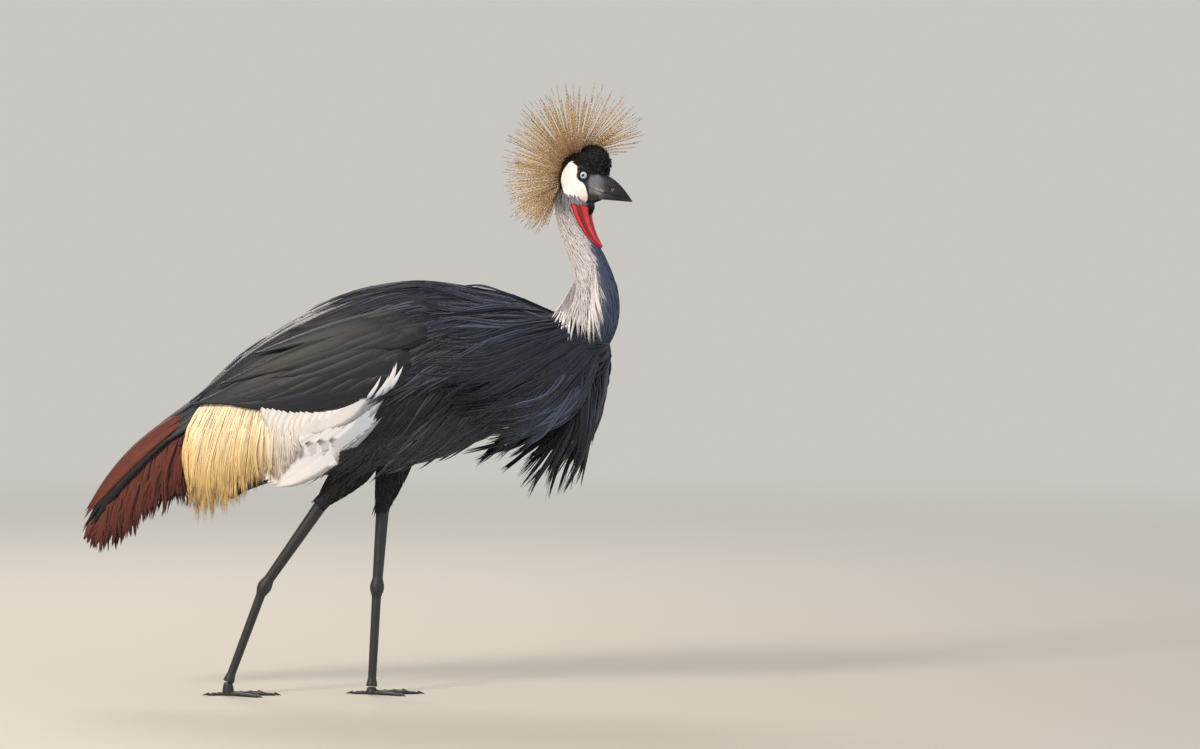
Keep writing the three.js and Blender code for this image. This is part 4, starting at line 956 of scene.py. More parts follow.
@dataclass(frozen=True)
class Contour:
    """Small feathers all over a stretch of body or neck, in staggered rows, each lying along it.

    sense is 1 where they point to higher stations and -1 to lower. along and across are the spacings.
    """

    trunk: Trunk
    stations: tuple[float, float]
    angles: tuple[float, float]
    along: float
    across: float
    length: float
    half: float
    sense: float = 1.0
    lift: float = 1.5
    sunk: float = -4.0
    rows: int = 4
    seed: int = 1
    widest: float = 0.45
    droop: float = 0.0

    def lay(self) -> tuple[Array, Array, Array, Array, Array]:
        """Lays the feathers.

        Returns:
            Their lines, facings, half widths, and the station and angle of each root.
        """
        rng = np.random.default_rng(self.seed)
        stations, angles = [], []
        station = self.stations[0]
        low, high = np.radians(self.angles)
        row = 0
        while station < self.stations[1]:
            size = self.trunk.section(np.array(station))[3]
            girth = (high - low) * float(size.mean())
            count = max(3, int(girth / self.across))
            angles.append(low + (high - low) * (np.arange(count) + 0.5 * (row % 2) + 0.25) / count)
            stations.append(np.full(count, station))
            station += self.along / float(self.trunk.speed(np.array(station)))
            row += 1
        s, a = np.concatenate(stations), np.concatenate(angles)
        n = len(s)
        speed = self.trunk.speed(s)
        s = s + rng.uniform(-0.4, 0.4, n) * self.along / speed
        a = a + rng.uniform(-0.35, 0.35, n) * self.across / self.trunk.section(s)[3].mean(-1)
        share = np.linspace(0, 1, self.rows + 1)[None]
        length = self.length * rng.uniform(0.8, 1.2, (n, 1))
        along = s[:, None] + self.sense * share * length / speed[:, None]
        along = np.clip(along, 0, self.trunk.last)
        turn = a[:, None] + share**2 * rng.normal(0, 0.05, (n, 1)) + self.droop * share * np.sin(a[:, None])
        height = mix(self.sunk, self.lift * rng.uniform(0.6, 1.4, (n, 1)), smooth(0, 0.5, share))
        line, face = self.trunk.point(along, turn, height)
        half = self.half * rng.uniform(0.8, 1.2, (n, 1)) * outline_of(share, self.widest, False)
        return line, face, half, s, a


def lively(tints: Array, rng: np.random.Generator, amount: float) -> Array:
    """Makes each feather a little lighter or darker than the next."""
    return tints * rng.uniform(1 - amount, 1 + amount, (tints.shape[0], 1, 1))


class Marks:
    """Where each colour lies on the bird, for its skin and its coat alike."""

    WING: Places = (
        (72, 610), (20, 552), (-160, 548), (-170, 400), (-110, 398), (-24, 440), (20, 498), (50, 545)
    )

    @staticmethod
    def body(x: Array, y: Array, z: Array, station: Array, angle: Array) -> Array:
        """The body's colour.

        Args:
            x: Places ahead.
            y: Places to the left.
            z: Places up.
            station: Their stations along the body.
            angle: Their angles from the back.

        Returns:
            A colour for each place.
        """
        shade = blend_colour(HUES.back, HUES.belly, smooth(1.3, 2.2, angle))
        shade = blend_colour(shade, HUES.blue, smooth(3.2, 2.2, station))
        white = smooth(-6, 6, signed_distance(x, z, Marks.WING)) * (np.abs(y) > 30)
        return blend_colour(shade, HUES.white, white)

    @staticmethod
    def neck(station: Array, angle: Array) -> Array:
        """The neck's colour: pale behind, slate blue in front as painted shade, darker under the head and at
        the breast.

        Args:
            station: Places along the neck.
            angle: Their angles from the nape.

        Returns:
            A colour for each place.
        """
        turned = np.abs(wrapped(angle))
        ripple = 0.12 * np.sin(station * 9 + turned * 5)
        border = turned + ripple - 0.32 * np.maximum(0, station - 3)
        # Painted shade: the neck's front turns slate blue where it lies in shadow.
        front = smooth(1.5, 1.75, border) * smooth(5.2, 4.2, station)
        shade = blend_colour(HUES.neck, HUES.neck_front_shade, front)
        shade = blend_colour(shade, HUES.blue, smooth(1.5, 0.6, station + ripple))
        return blend_colour(shade, HUES.neck_top, 0.75 * smooth(5.2, 6.4, station))


@dataclass(frozen=True)
class Skull:
    """The head's own frame and shape. It turns to the right about an upright axis at x, z."""

    x: float = 401.0
    z: float = 958.0
    turn: float = -15.0
    sections: tuple[tuple[float, ...], ...] = (
        (-31, 12, -16, 8),
        (-21, 33, -35, 19),
        (-6, 44, -47, 24.5),
        (15, 45, -50, 26),
        (33, 38, -45, 22.5),
        (48, 22, -39, 16),
        (61, 2, -33, 10),
    )
    cap: tuple[float, ...] = (31, 25, 35.5, 24, 38)
    nape_cap: tuple[float, ...] = (14, 28, 26, 21, 19)
    throat: tuple[float, ...] = (23, -48, 13, 11, 21)
    eye: tuple[float, float, float] = (19.3, 6.0, 19.5)
    eye_radius: float = 8.8
    bean: Places = (
        (-0.9, 33.5), (6.8, 24.0), (8.8, 10.0), (14.9, -3.9), (22.2, -12.1), (26.4, -29.8),
        (24.7, -39.3), (19.9, -45.2), (11.3, -47.1), (0.4, -42.0), (-13.3, -33.0), (-22.6, -20.0),
        (-26.0, -6.2), (-23.5, 8.5), (-16.5, 21.5), (-8.5, 30.0),
    )
    gape: Places = ((30.0, -17.0), (38.3, -21.6), (51.8, -26.4), (68.0, -29.6))

    def world(self, spots: Array, turn_only: bool = False) -> Array:
        """Brings places of the head's own frame to the bird's.

        Args:
            spots: Places or headings.
            turn_only: Whether they are headings.

        Returns:
            The same in the bird's frame.
        """
        angle = math.radians(self.turn)
        c, s = math.cos(angle), math.sin(angle)
        x = spots[..., 0] * c - spots[..., 1] * s
        y = spots[..., 0] * s + spots[..., 1] * c
        move = 0.0 if turn_only else 1.0
        return np.stack([x + self.x * move, y, spots[..., 2] + self.z * move], -1)

    def local(self, spots: Array) -> Array:
        """Brings places of the bird's frame to the head's own.

        Args:
            spots: Places in the bird's frame.

        Returns:
            The same in the head's frame.
        """
        angle = math.radians(-self.turn)
        c, s = math.cos(angle), math.sin(angle)
        x, y = spots[..., 0] - self.x, spots[..., 1]
        return np.stack([x * c - y * s, x * s + y * c, spots[..., 2] - self.z], -1)

    def bean_depth(self, x: Array, z: Array) -> Array:
        """How far inside the cheek patch's rounded outline a place is."""
        corners = Line(self.bean + self.bean[:1]).at(np.linspace(0, 1, 65)[:-1])
        return signed_distance(x, z, tuple(map(tuple, corners)))

    def eye_distance(self, x: Array, z: Array) -> Array:
        """How far a place in the head's side view is from the middle of the eye."""
        return np.hypot(x - self.eye[0], z - self.eye[1])

    def gape_distance(self, x: Array, z: Array) -> Array:
        """How far a place in the head's side view is from the line of the mouth."""
        path = Line(self.gape).at(np.linspace(0, 1, 40))
        return np.min(np.hypot(x[..., None] - path[:, 0], z[..., None] - path[:, 1]), axis=-1)

    def tint(self, x: Array, y: Array, z: Array) -> Array:
        """The head's colour: black velvet, grey lores with a painted sheen over the skin's own grey, white
        cheek with a black rim, grey nape.

        Args:
            x: Places ahead in the head's own frame.
            y: Places to its left.
            z: Places up.

        Returns:
            A colour for each place.
        """
        depth = self.bean_depth(x, z)
        # The lores' grey is partly the bare skin's own and partly a painted sheen, broken by a fine grain.
        lore = smooth(26, 33, x) * smooth(60, 44, x) * smooth(14, 2, z) * smooth(-33, -22, z)
        grain = 0.5 + 0.5 * np.sin(x * 0.9 + z * 1.7) * np.sin(x * 0.5 - z * 0.8 + 2)
        shade = blend_colour(HUES.face, HUES.lore, lore * (0.45 + 0.5 * grain))
        shade = blend_colour(shade, HUES.velvet, np.maximum(smooth(12, 22, z), smooth(-40, -48, z)))
        shade = blend_colour(shade, HUES.neck_top, smooth(-30, -42, z) * smooth(-2, -14, x))
        white = blend_colour(HUES.cheek, HUES.cheek_low, smooth(-20, -44, z))
        rim = smooth(-4.5, -2.2, depth) * smooth(2.0, -0.3, depth)
        shade = blend_colour(shade, HUES.velvet, rim)
        inside = smooth(-0.5, 1.0, depth) * (np.abs(y) > 5)
        shade = blend_colour(shade, white, inside)
        mouth = self.gape_distance(x, z)
        wrinkle = smooth(1.5, 0.5, np.abs(mouth - 2.4)) + 0.6 * smooth(1.2, 0.4, np.abs(mouth - 5.4))
        shade = blend_colour(shade, HUES.gape, 0.8 * np.clip(wrinkle, 0, 1) * smooth(33, 44, x))
        ring = smooth(13.6, 11.6, self.eye_distance(x, z)) * (np.abs(y) > 10)
        return blend_colour(shade, HUES.velvet, ring)


SKULL = Skull()


def ellipsoid(x: float, z: float, long: float, wide: float, high: float) -> tuple[Array, Array]:
    """A closed ellipsoid in the head's middle plane.

    Args:
        x: Its middle, ahead.
        z: Its middle, up.
        long: Its reach ahead and back.
        wide: Its reach to each side.
        high: Its reach up and down.

    Returns:
        Corners and triangles.
    """
    fall, turn = grid(0.05, np.pi - 0.05, 32, 48)
    level = np.sin(fall)
    ahead, aside = x + long * np.cos(turn) * level, wide * np.sin(turn) * level
    return tube(np.stack([ahead, aside, z + high * np.cos(fall)], -1))


@dataclass
class Skin:
    """The one skin of the bird: body, neck and thighs, the head, and the scaly legs and feet."""

    depth: float = 5.0
    neck_depth: float = 2.5
    rump: tuple[float, float] = (6.9, 8.5)
    neck_span: tuple[float, float] = (0.3, 6.3)
    stub: tuple[float, float, float] = (5.3, 7.0, 1.2)
    thigh_depth: float = 3.0
    voxel: float = 3.2
    head_voxel: float = 1.0
    head_spots: Array = field(default_factory=lambda: np.zeros((0, 3)))
    head_faces: Array = field(default_factory=lambda: np.zeros((0, 3), int))
    head_normals: Array = field(default_factory=lambda: np.zeros((0, 3)))

    def torso(self) -> tuple[Array, Array]:
        """The body without its plumage, closed to a rounded rump."""
        station, angle = grid(0.15, self.rump[1], 90, 64)
        share = np.clip((station - self.rump[0]) / (self.rump[1] - self.rump[0]), 0, 1)
        return tube(BODY.point(station, angle, -self.depth, np.sqrt(np.maximum(0.02, 1 - share**2)))[0])

    def neck(self, first: float, last: float, depth: float) -> tuple[Array, Array]:
        """A length of the neck without its plumage.

        Args:
            first: The station where it begins.
            last: The station where it ends.
            depth: How far it lies under the plumage's surface.

        Returns:
            Corners and triangles.
        """
        station, angle = grid(first, last, 50, 48)
        return tube(NECK.point(station, angle, -depth)[0])

    def head(self) -> None:
        """The head's skin, with its cheek patches, lids and the line of the mouth raised or sunk in it."""
        share, angle = grid(0, 1, 60, 56)
        row = Line(SKULL.sections).at(share)
        middle, high = (row[..., 1] + row[..., 2]) / 2, (row[..., 1] - row[..., 2]) / 2
        rings = np.stack([row[..., 0], row[..., 3] * np.sin(angle), middle + high * np.cos(angle)], -1)
        cx, cz, long, wide, tall = SKULL.cap
        nx, nz, nlong, nwide, ntall = SKULL.nape_cap
        tx, tz, tlong, twide, ttall = SKULL.throat
        stub = self.neck(*self.stub)
        shapes = [
            tube(rings),
            ellipsoid(cx, cz, long - 5, wide - 4, tall - 5),
            ellipsoid(nx, nz, nlong - 3, nwide - 2, ntall - 3),
            ellipsoid(tx, tz, tlong - 2, twide - 2, ttall - 2),
            (SKULL.local(stub[0]), stub[1]),
        ]
        spots, faces, normals = melt(shapes, self.head_voxel, 6)
        x, y, z = spots.T
        side = np.abs(y) > 6
        depth = SKULL.bean_depth(x, z)
        rise = 1.3 * smooth(-0.8, 1.6, depth) - 0.7 * np.exp(-(((depth + 1.6) / 1.3) ** 2))
        eye = SKULL.eye_distance(x, z)
        away = smooth(15, 11, eye)
        rise = rise * (1 - away)
        rise = rise - 5.0 * smooth(8.6, 6.2, eye) + 1.7 * np.exp(-(((eye - 9.3) / 1.3) ** 2))
        rise = rise - 0.5 * np.exp(-(((eye - 11.9) / 0.8) ** 2))
        mouth = SKULL.gape_distance(x, z)
        rise = rise - 1.5 * np.exp(-((mouth / 0.9) ** 2)) + 0.5 * np.exp(-(((mouth - 2.4) / 1.0) ** 2))
        self.head_spots = spots + normals * (rise * side)[:, None]
        self.head_faces = faces
        self.head_normals = normals

    def build(self, legs: "Legs") -> None:
        """Makes the skin as one piece.

        Args:
            legs: The bird's legs, whose thighs, shins and feet join it.
        """
        sheaf = Sheaf("skin")
        thighs = [legs.thigh(side, self.thigh_depth) for side in Side]
        neck = self.neck(*self.neck_span, self.neck_depth)
        spots, faces, _ = melt([self.torso(), neck, *thighs], self.voxel, 3)
        x, y, z = spots.T
        found, over = (trunk.meet(x, z, np.zeros(len(spots))) for trunk in (BODY, NECK))
        upward = smooth(672, 700, z - 0.35 * (x - 430)) * (x > 350)
        tint = blend_colour(Marks.body(x, y, z, found["station"], found["angle"]), np.zeros(3), upward)
        tint = tint + upward[:, None] * Marks.neck(over["station"], over["angle"])
        patch = body_patch(found["station"], found["angle"], np.sign(y))
        sheaf.add(spots, faces, tint, patch)
        self.head()
        x, y, z = self.head_spots.T
        patch = 0.5 + np.stack([x, z], -1) / HEAD_MAP
        sheaf.add(SKULL.world(self.head_spots), self.head_faces, SKULL.tint(x, y, z), patch)
        legs.add_to(sheaf)
        nodes = ["torso", "neck_lower", "neck_middle", "neck_upper", "head"]
        kinds = ("cheek", "thigh", "shank", "ankle", "tarsus", "foot")
        for side in Side:
            nodes += [f"{kind}_{side.word}" for kind in kinds]
            nodes += [f"toe_{toe[0]}_{side.word}" for toe in legs.toes]
        sheaf.build(SkinFinish("bird_skin_scaled_and_bare").make(), "leg_skin", tuple(nodes))


@dataclass(frozen=True)
class Legs:
    """Two bare scaly legs with their feet, the left one under the body and the right one trailing."""

    joints: dict[Side, tuple[tuple[float, float, float], ...]] = field(
        default_factory=lambda: {
            Side.LEFT: ((74, 26, 474), (41, 28, 352), (30, 18, 198), (20, 10, 13)),
            Side.RIGHT: ((12, -26, 446), (-64, -30, 366), (-178, -18, 203), (-245, -12, 24)),
        }
    )
    toes: tuple[tuple[str, float, float, float], ...] = (
        ("inner", 56, -34, 4.6),
        ("middle", 76, 2, 5.0),
        ("outer", 60, 36, 4.6),
        ("hind", 26, 172, 4.2),
    )
    thigh_radii: tuple[float, float] = (36, 14)
    ankle_long: float = 19.0
    pad: float = 11.0
    claw: tuple[float, float] = (13.0, 2.6)
    plate: float = 6.2
    grain: float = 3.4
    around: int = 44
    rings: tuple[int, int, int] = (150, 46, 190)
    thigh_feathers: int = 900

    def thigh(self, side: Side, depth: float) -> tuple[Array, Array]:
        """The feathered thigh without its plumage.

        Args:
            side: Which side of the bird.
            depth: How far it lies under the plumage's surface.

        Returns:
            Corners and triangles.
        """
        a, b = (np.array(v, float) for v in self.joints[side][:2])
        share = np.linspace(0, 1, 40)
        radius = mix(*self.thigh_radii, share) + 4 * hump(share) - depth
        return tube(self._rings(mix(a, b, share[:, None]), radius[:, None], 40))

    def _rings(self, line: Array, radius: Array, around: int) -> Array:
        """Rings about a line, angle 0 ahead of it.

        Args:
            line: Places along its middle.
            radius: Radius of each ring, or of each of its corners.
            around: Corners in a ring.

        Returns:
            Places as rings, corners and x, y, z.
        """
        along = unit(np.gradient(line, axis=0))
        ahead = unit(np.stack([along[:, 2], np.zeros(len(along)), -along[:, 0]], -1))
        ahead = ahead * np.sign(ahead[:, :1] + 1e-9)
        aside = np.cross(along, ahead)
        angle = circle(around)[None, :, None]
        way = np.cos(angle) * ahead[:, None] + np.sin(angle) * aside[:, None]
        return line[:, None] + radius[..., None] * way

    def scutes(self, run: Array, angle: Array, radius: Array) -> Array:
        """Height of the leg's plates: broad ones across the front, and small ones like pebbles behind.

        Args:
            run: Millimetres down the leg.
            angle: Angles round it from the front.
            radius: The leg's radius there.

        Returns:
            Heights in millimetres.
        """
        step = np.mod(run / self.plate, 1)
        front = smooth(0, 0.18, step) * smooth(1, 0.82, step)
        row = np.floor(run / self.grain)
        turn = np.mod(angle * radius / self.grain + 0.5 * np.mod(row, 2), 1) - 0.5
        climb = np.mod(run / self.grain, 1) - 0.5
        pebble = smooth(0.55, 0.2, np.hypot(turn, climb))
        return mix(0.5 * pebble, 0.55 * front, smooth(0.3, 0.7, np.cos(angle)))

    def shin(self, side: Side) -> tuple[Array, Array, Array]:
        """One leg from inside the thigh to the foot, with its scutes.

        Args:
            side: Which side of the bird.

        Returns:
            Corners, triangles, and how light each corner is.
        """
        _, shank, ankle, heel = (np.array(v, float) for v in self.joints[side])
        down, on = unit(ankle - shank), unit(heel - ankle)
        top, end = ankle - down * self.ankle_long, ankle + on * self.ankle_long
        w = np.linspace(0, 1, self.rings[1])[:, None]
        bend = top * (1 - w) ** 2 + 2 * ankle * w * (1 - w) + end * w**2
        first = mix(shank - down * 14, top, np.linspace(0, 1, self.rings[0])[:-1, None])
        last = mix(end, heel - on * 2, np.linspace(0, 1, self.rings[2])[1:, None])
        line = np.concatenate([first, bend, last])
        n1, n2, n3 = len(first), len(bend), len(last)
        knob = 4.2 * hump(w[:, 0]) ** 1.5
        radius = np.concatenate(
            [np.linspace(12.5, 9.5, n1), np.linspace(9.5, 8.5, n2) + knob, np.linspace(8.5, 7.5, n3)]
        )
        radius = radius + 2.6 * smooth(22, 4, line[:, 2] - heel[2]) ** 1.5
        run = np.concatenate([[0], np.cumsum(np.linalg.norm(np.diff(line, axis=0), axis=1))])
        height = self.scutes(run[:, None], circle(self.around)[None], radius[:, None])
        spots, faces = tube(self._rings(line, radius[:, None] - 0.3 + height, self.around))
        light = np.concatenate([(height / 0.55).ravel(), [0, 0]])
        return spots, faces, light

    def _point(self, side: Side, heading: float, x: Array, y: Array, z: Array) -> Array:
        """Places in a toe's own frame brought to the bird's.

        Args:
            side: Which side of the bird.
            heading: The toe's way out from straight ahead, in degrees.
            x: Places along the toe from the heel's axis.
            y: Places across it.
            z: Places up.

        Returns:
            Places in the bird's frame.
        """
        heel = self.joints[side][3]
        turn = math.radians(heading * side.value)
        c, s = math.cos(turn), math.sin(turn)
        return np.stack([heel[0] + x * c - y * s, heel[1] + x * s + y * c, z], -1)

    def toe(self, side: Side, toe: tuple[str, float, float, float]) -> tuple[Array, Array, Array]:
        """A toe on the floor, flat below, with pads under it and plates on top.

        Args:
            side: Which side of the bird.
            toe: Its name, length, heading and half width.

        Returns:
            Corners, triangles, and how light each corner is.
        """
        _, length, heading, half = toe
        share, angle = grid(0, 1, 64, 28)
        start = self.pad - 3
        knuckle = 1 + 0.1 * np.cos(share * np.pi * 6)
        wide = half * mix(1.05, 0.72, share) * knuckle * np.sqrt(np.clip(1.02 - share**14, 0.02, 1))
        step = np.mod(share * length / 4.2, 1)
        plate = 0.4 * smooth(0, 0.2, step) * smooth(1, 0.8, step) * smooth(0.1, 0.6, np.cos(angle))
        rise = np.maximum(0, wide * (1 + np.cos(angle)) - 0.5 * wide)
        x = start + share * (length + 3)
        y, z = wide * np.sin(angle), rise + plate * (rise > 0.5)
        shape, faces = tube(self._point(side, heading, x, y, z))
        return shape, faces, np.concatenate([(plate / 0.4).ravel(), [0, 0]])

    def sole(self, side: Side) -> tuple[Array, Array, Array]:
        """The pad under the toes' joint, flat on the floor.

        Args:
            side: Which side of the bird.

        Returns:
            Corners, triangles, and how light each corner is.
        """
        x, y, z = self.joints[side][3]
        share, angle = grid(0, 1, 24, 40)
        radius = self.pad * np.sqrt(1 - (0.75 * share) ** 2) * np.minimum(1, 0.86 + 2 * share)
        radius = radius + 0.3 * np.sin(angle * 11) * np.sin(share * 14)
        shape, faces = tube(np.stack([x + radius * np.cos(angle), y + radius * np.sin(angle), z * share], -1))
        return shape, faces, np.full(len(shape), 0.4)

    def add_to(self, sheaf: Sheaf) -> None:
        """Adds both legs and feet to the skin.

        Args:
            sheaf: The skin's mesh.
        """
        for side in Side:
            pieces = [self.shin(side), self.sole(side), *(self.toe(side, toe) for toe in self.toes)]
            for k, (spots, faces, light) in enumerate(pieces):
                tint = blend_colour(HUES.leg, HUES.leg_light, light * 0.6)
                patch = np.stack([0.05 + 0.1 * k + spots[:, 1] / 2000, 0.03 + spots[:, 2] / 2500], -1)
                sheaf.add(spots, faces, tint, np.clip(patch, 0.001, 0.999))

    def build_claws(self) -> None:
        """The curved claws, points to the floor."""
        sheaf = Sheaf("claws")
        nodes = []
        for side in Side:
            for name, length, heading, _ in self.toes:
                share, angle = grid(0, 1, 24, 16)
                half = self.claw[1] * (1 - 0.9 * share**1.3)
                rise = mix(3.6, 0.7, share**1.6)
                x = self.pad + length + self.claw[0] * share - 1.5
                y, z = half * np.sin(angle), rise + half * np.cos(angle) * 1.1
                spots, faces = tube(self._point(side, heading, x, y, np.maximum(z, 0.1)))
                sheaf.add(spots, faces, HUES.claw, 0.5 + spots[:, :2] / 4000)
                nodes.append(f"claw_{name}_{side.word}")
        sheaf.build(HornFinish("claw_keratin_worn", rough=0.4, coat=0.15).make(), "horn", tuple(nodes))

    def dress_thighs(self, finish: bpy.types.Material) -> None:
        """Makes the short dark feathers down both thighs.

        Args:
            finish: Their material.
        """
        sheaf = Sheaf("thigh_feathers")
        for side in Side:
            rng = np.random.default_rng(700 + side.value)
            a, b = (np.array(v, float) for v in self.joints[side][:2])
            n = self.thigh_feathers
            s = rng.uniform(0.05, 0.92, n)
            turn = rng.uniform(0, 2 * np.pi, n)
            share = np.linspace(0, 1, 5)[None]
            run = s[:, None] + share * rng.uniform(0.18, 0.3, (n, 1))
            along = unit(b - a)
            ahead = unit(np.array([along[2], 0, -along[0]]))
            aside = np.cross(along, ahead)
            out = np.cos(turn)[:, None] * ahead + np.sin(turn)[:, None] * aside
            radius = mix(*self.thigh_radii, run) + 4 * hump(run) + mix(-4, 1.5, share)
            radius = np.where(run > 1, 13.5 + (run - 1) * 6, radius)
            line = mix(a, b, run[..., None]) + radius[..., None] * out[:, None]
            half = 3.0 * outline_of(share, 0.4, False) * rng.uniform(0.8, 1.2, (n, 1))
            tint = lively(np.broadcast_to(HUES.belly, (n, 5, 3)), rng, 0.4)
            found = BODY.meet(a[0] + 0 * s, a[2] - 60 * s, np.zeros(n))
            patch = body_patch(found["station"], found["angle"], side.value)
            sheaf.blades(line, np.repeat(out[:, None], 5, 1), half, tint, patch)
        sheaf.build(finish, "slate_feather")


@dataclass(frozen=True)
class Plumage:
    """The body's feathers, from the small ones all over to the long plumes, tier by tier."""

    shoulder: Tier = Tier(
        count=1000,
        roots=(
            ((366, 706), (384, 700), (402, 690), (420, 676), (436, 652), (446, 622)),
            ((280, 744), (318, 728), (350, 700), (368, 660), (384, 620), (398, 592)),
        ),
        tips=(
            ((40, 764), (10, 716), (20, 640), (66, 572), (112, 520), (176, 474), (250, 450)),
            ((180, 762), (150, 716), (140, 650), (164, 590), (214, 540), (276, 500), (330, 470)),
        ),
        half=2.6, bow=(-0.09, 0.26), lift=10, sunk=1, pile=12, wave=0.055, clumps=30, gather=0.8,
        ragged=0.36, widest=0.3, rows=16, seed=21,
    )
    belly: Tier = Tier(
        count=560,
        roots=(
            ((340, 560), (250, 506), (160, 500), (96, 560), (80, 600)),
            ((392, 612), (310, 600), (210, 600), (130, 620), (100, 640)),
        ),
        tips=(
            ((190, 462), (110, 424), (20, 398), (-60, 380), (-132, 374)),
            ((250, 500), (180, 462), (60, 440), (-20, 420), (-60, 440)),
        ),
        half=2.6, bow=(0.08, 0.06), lift=5, sunk=-1, pile=6, wave=0.04, clumps=30, gather=0.75, ragged=0.25,
        widest=0.4, rows=12, seed=22,
    )
    ruff: Tier = Tier(
        count=330,
        roots=(
            ((372, 722), (392, 742), (412, 760), (428, 772), (440, 780)),
            ((384, 744), (398, 772), (412, 792), (424, 806), (436, 812)),
        ),
        tips=(
            ((338, 690), (366, 656), (398, 636), (430, 628), (452, 650)),
            ((356, 704), (386, 686), (414, 676), (438, 676), (456, 700)),
        ),
        half=1.9, bow=(0.02, -0.1), lift=4, sunk=0, pile=5, wave=0.03, clumps=15, gather=0.8, ragged=0.5,
        widest=0.35, rows=10, seed=23,
    )
    gold: Tier = Tier(
        count=1650,
        roots=(
            ((-294, 540), (-266, 556), (-230, 566), (-190, 562), (-150, 548), (-110, 506)),
            ((-300, 512), (-282, 520), (-236, 522), (-190, 512), (-160, 496), (-120, 480)),
        ),
        tips=(
            (
                (-322, 430), (-322, 366), (-312, 318), (-292, 300), (-252, 318),
                (-212, 350), (-174, 376), (-146, 392), (-104, 440),
            ),
            (
                (-324, 470), (-320, 420), (-304, 380), (-270, 358), (-240, 376),
                (-205, 398), (-170, 420), (-135, 436), (-96, 462),
            ),
        ),
        half=1.4, bow=(-0.2, -0.05), lift=12, sunk=4, pile=6, wave=0.022, clumps=34, gather=0.55,
        ragged=0.2, widest=0.4, rows=11, seed=24,
    )
    cloak: tuple[Tier, ...] = (
        Tier(
            count=9,
            roots=(((156, 716), (140, 690), (122, 660), (106, 626)),),
            tips=(((-322, 536), (-312, 539), (-292, 542), (-262, 543), (-225, 541), (-178, 540)),),
            half=21, bow=(0.0, 0.24), lift=13, sunk=-3, rise=(0.08, 0.45), roll=0.06, widest=0.6,
            ragged=0.03, rows=22, seed=31, even=True,
        ),
        Tier(
            count=9,
            roots=(((150, 706), (132, 680), (116, 650), (100, 622)),),
            tips=(((-250, 552), (-170, 548), (-96, 547), (-40, 556), (6, 574), (40, 596)),),
            half=19, bow=(0.05, 0.2), lift=14.5, sunk=-3, rise=(0.08, 0.5), roll=0.06, widest=0.6,
            ragged=0.03, rows=22, seed=37, even=True,
        ),
        Tier(
            count=9,
            roots=(((190, 734), (168, 712), (148, 684), (130, 652)),),
            tips=(((-296, 562), (-232, 590), (-160, 590), (-90, 588), (-30, 594), (30, 622)),),
            half=20, bow=(-0.03, 0.16), lift=16.5, sunk=-3, rise=(0.1, 0.5), roll=0.06, widest=0.55,
            ragged=0.03, rows=22, seed=32, even=True,
        ),
        Tier(
            count=8,
            roots=(((222, 742), (198, 728), (174, 706), (152, 680)),),
            tips=(((-226, 626), (-150, 646), (-84, 642), (-20, 640), (40, 660), (84, 690)),),
            half=17, bow=(-0.05, 0.12), lift=18, sunk=-3, rise=(0.1, 0.55), roll=0.06, widest=0.55,
            ragged=0.03, rows=22, seed=33, even=True,
        ),
    )
    ridge: tuple[Tier, ...] = (
        Tier(
            count=9,
            roots=(((262, 746), (240, 742), (214, 730), (190, 716)),),
            tips=(((-318, 542), (-304, 556), (-272, 582), (-236, 604)),),
            half=19, bow=(-0.235, -0.08), lift=6, sunk=-3, widest=0.5, rows=24, seed=35, even=True,
        ),
        Tier(
            count=8,
            roots=(((290, 738), (270, 736), (244, 728)),),
            tips=(((-150, 674), (-130, 676), (-90, 680), (-60, 690)),),
            half=16, bow=(-0.16, -0.06), lift=9, sunk=-2, widest=0.5, rows=20, seed=36, even=True,
        ),
    )
    coverts: tuple[Tier, ...] = (
        Tier(
            count=15,
            roots=(((88, 614), (84, 606), (79, 596), (73, 586)),),
            tips=(((-166, 524), (-188, 478), (-192, 436), (-182, 404), (-150, 386)),),
            half=25, bow=(0.0, 0.15), lift=9, sunk=4, rise=(0.0, 0.4), roll=-0.02, widest=0.6, ragged=0.02,
            blunt=True, rows=18, seed=41, even=True,
        ),
        Tier(
            count=14,
            roots=(((40, 606), (0, 596), (-50, 590), (-100, 584), (-136, 580)),),
            tips=(((-30, 520), (-66, 500), (-104, 486), (-134, 478), (-158, 488), (-170, 512)),),
            half=22, bow=(0.1, 0.02), lift=11, sunk=8, rise=(0.0, 0.3), widest=0.7, ragged=0.02, blunt=True,
            rows=18, seed=42, even=True,
        ),
        Tier(
            count=5,
            roots=(((6, 552), (30, 556), (46, 562), (56, 572)),),
            tips=(((34, 598), (62, 604), (72, 630), (90, 610)),),
            half=4.5, bow=(-0.14, -0.08), lift=19, sunk=10, widest=0.35, rows=10, seed=43, even=True,
        ),
    )
    chestnut: Tier = Tier(
        count=420,
        roots=(
            ((-290, 528), (-334, 496), (-378, 460), (-420, 420), (-464, 368), (-502, 318)),
            ((-286, 496), (-324, 458), (-368, 420), (-406, 380), (-446, 336), (-480, 300)),
        ),
        tips=(
            ((-314, 334), (-364, 318), (-389, 307), (-418, 284), (-450, 258), (-494, 253), (-514, 290)),
            ((-312, 400), (-350, 372), (-384, 350), (-416, 326), (-450, 300), (-486, 290), (-508, 306)),
        ),
        half=3.8, bow=(-0.1, -0.05), lift=0, sunk=-5, pile=8, wave=0.035, clumps=22, gather=0.75,
        ragged=0.22, widest=0.4, rows=12, seed=51,
    )
    tail_top: tuple[Tier, ...] = (
        Tier(
            count=3,
            roots=(((-262, 566), (-276, 548), (-284, 536)),),
            tips=(((-517, 338), (-516, 330), (-514, 322)),),
            half=12, bow=(-0.14, -0.12), lift=3.5, sunk=-3, widest=0.55, rows=18, seed=52, even=True,
        ),
    )
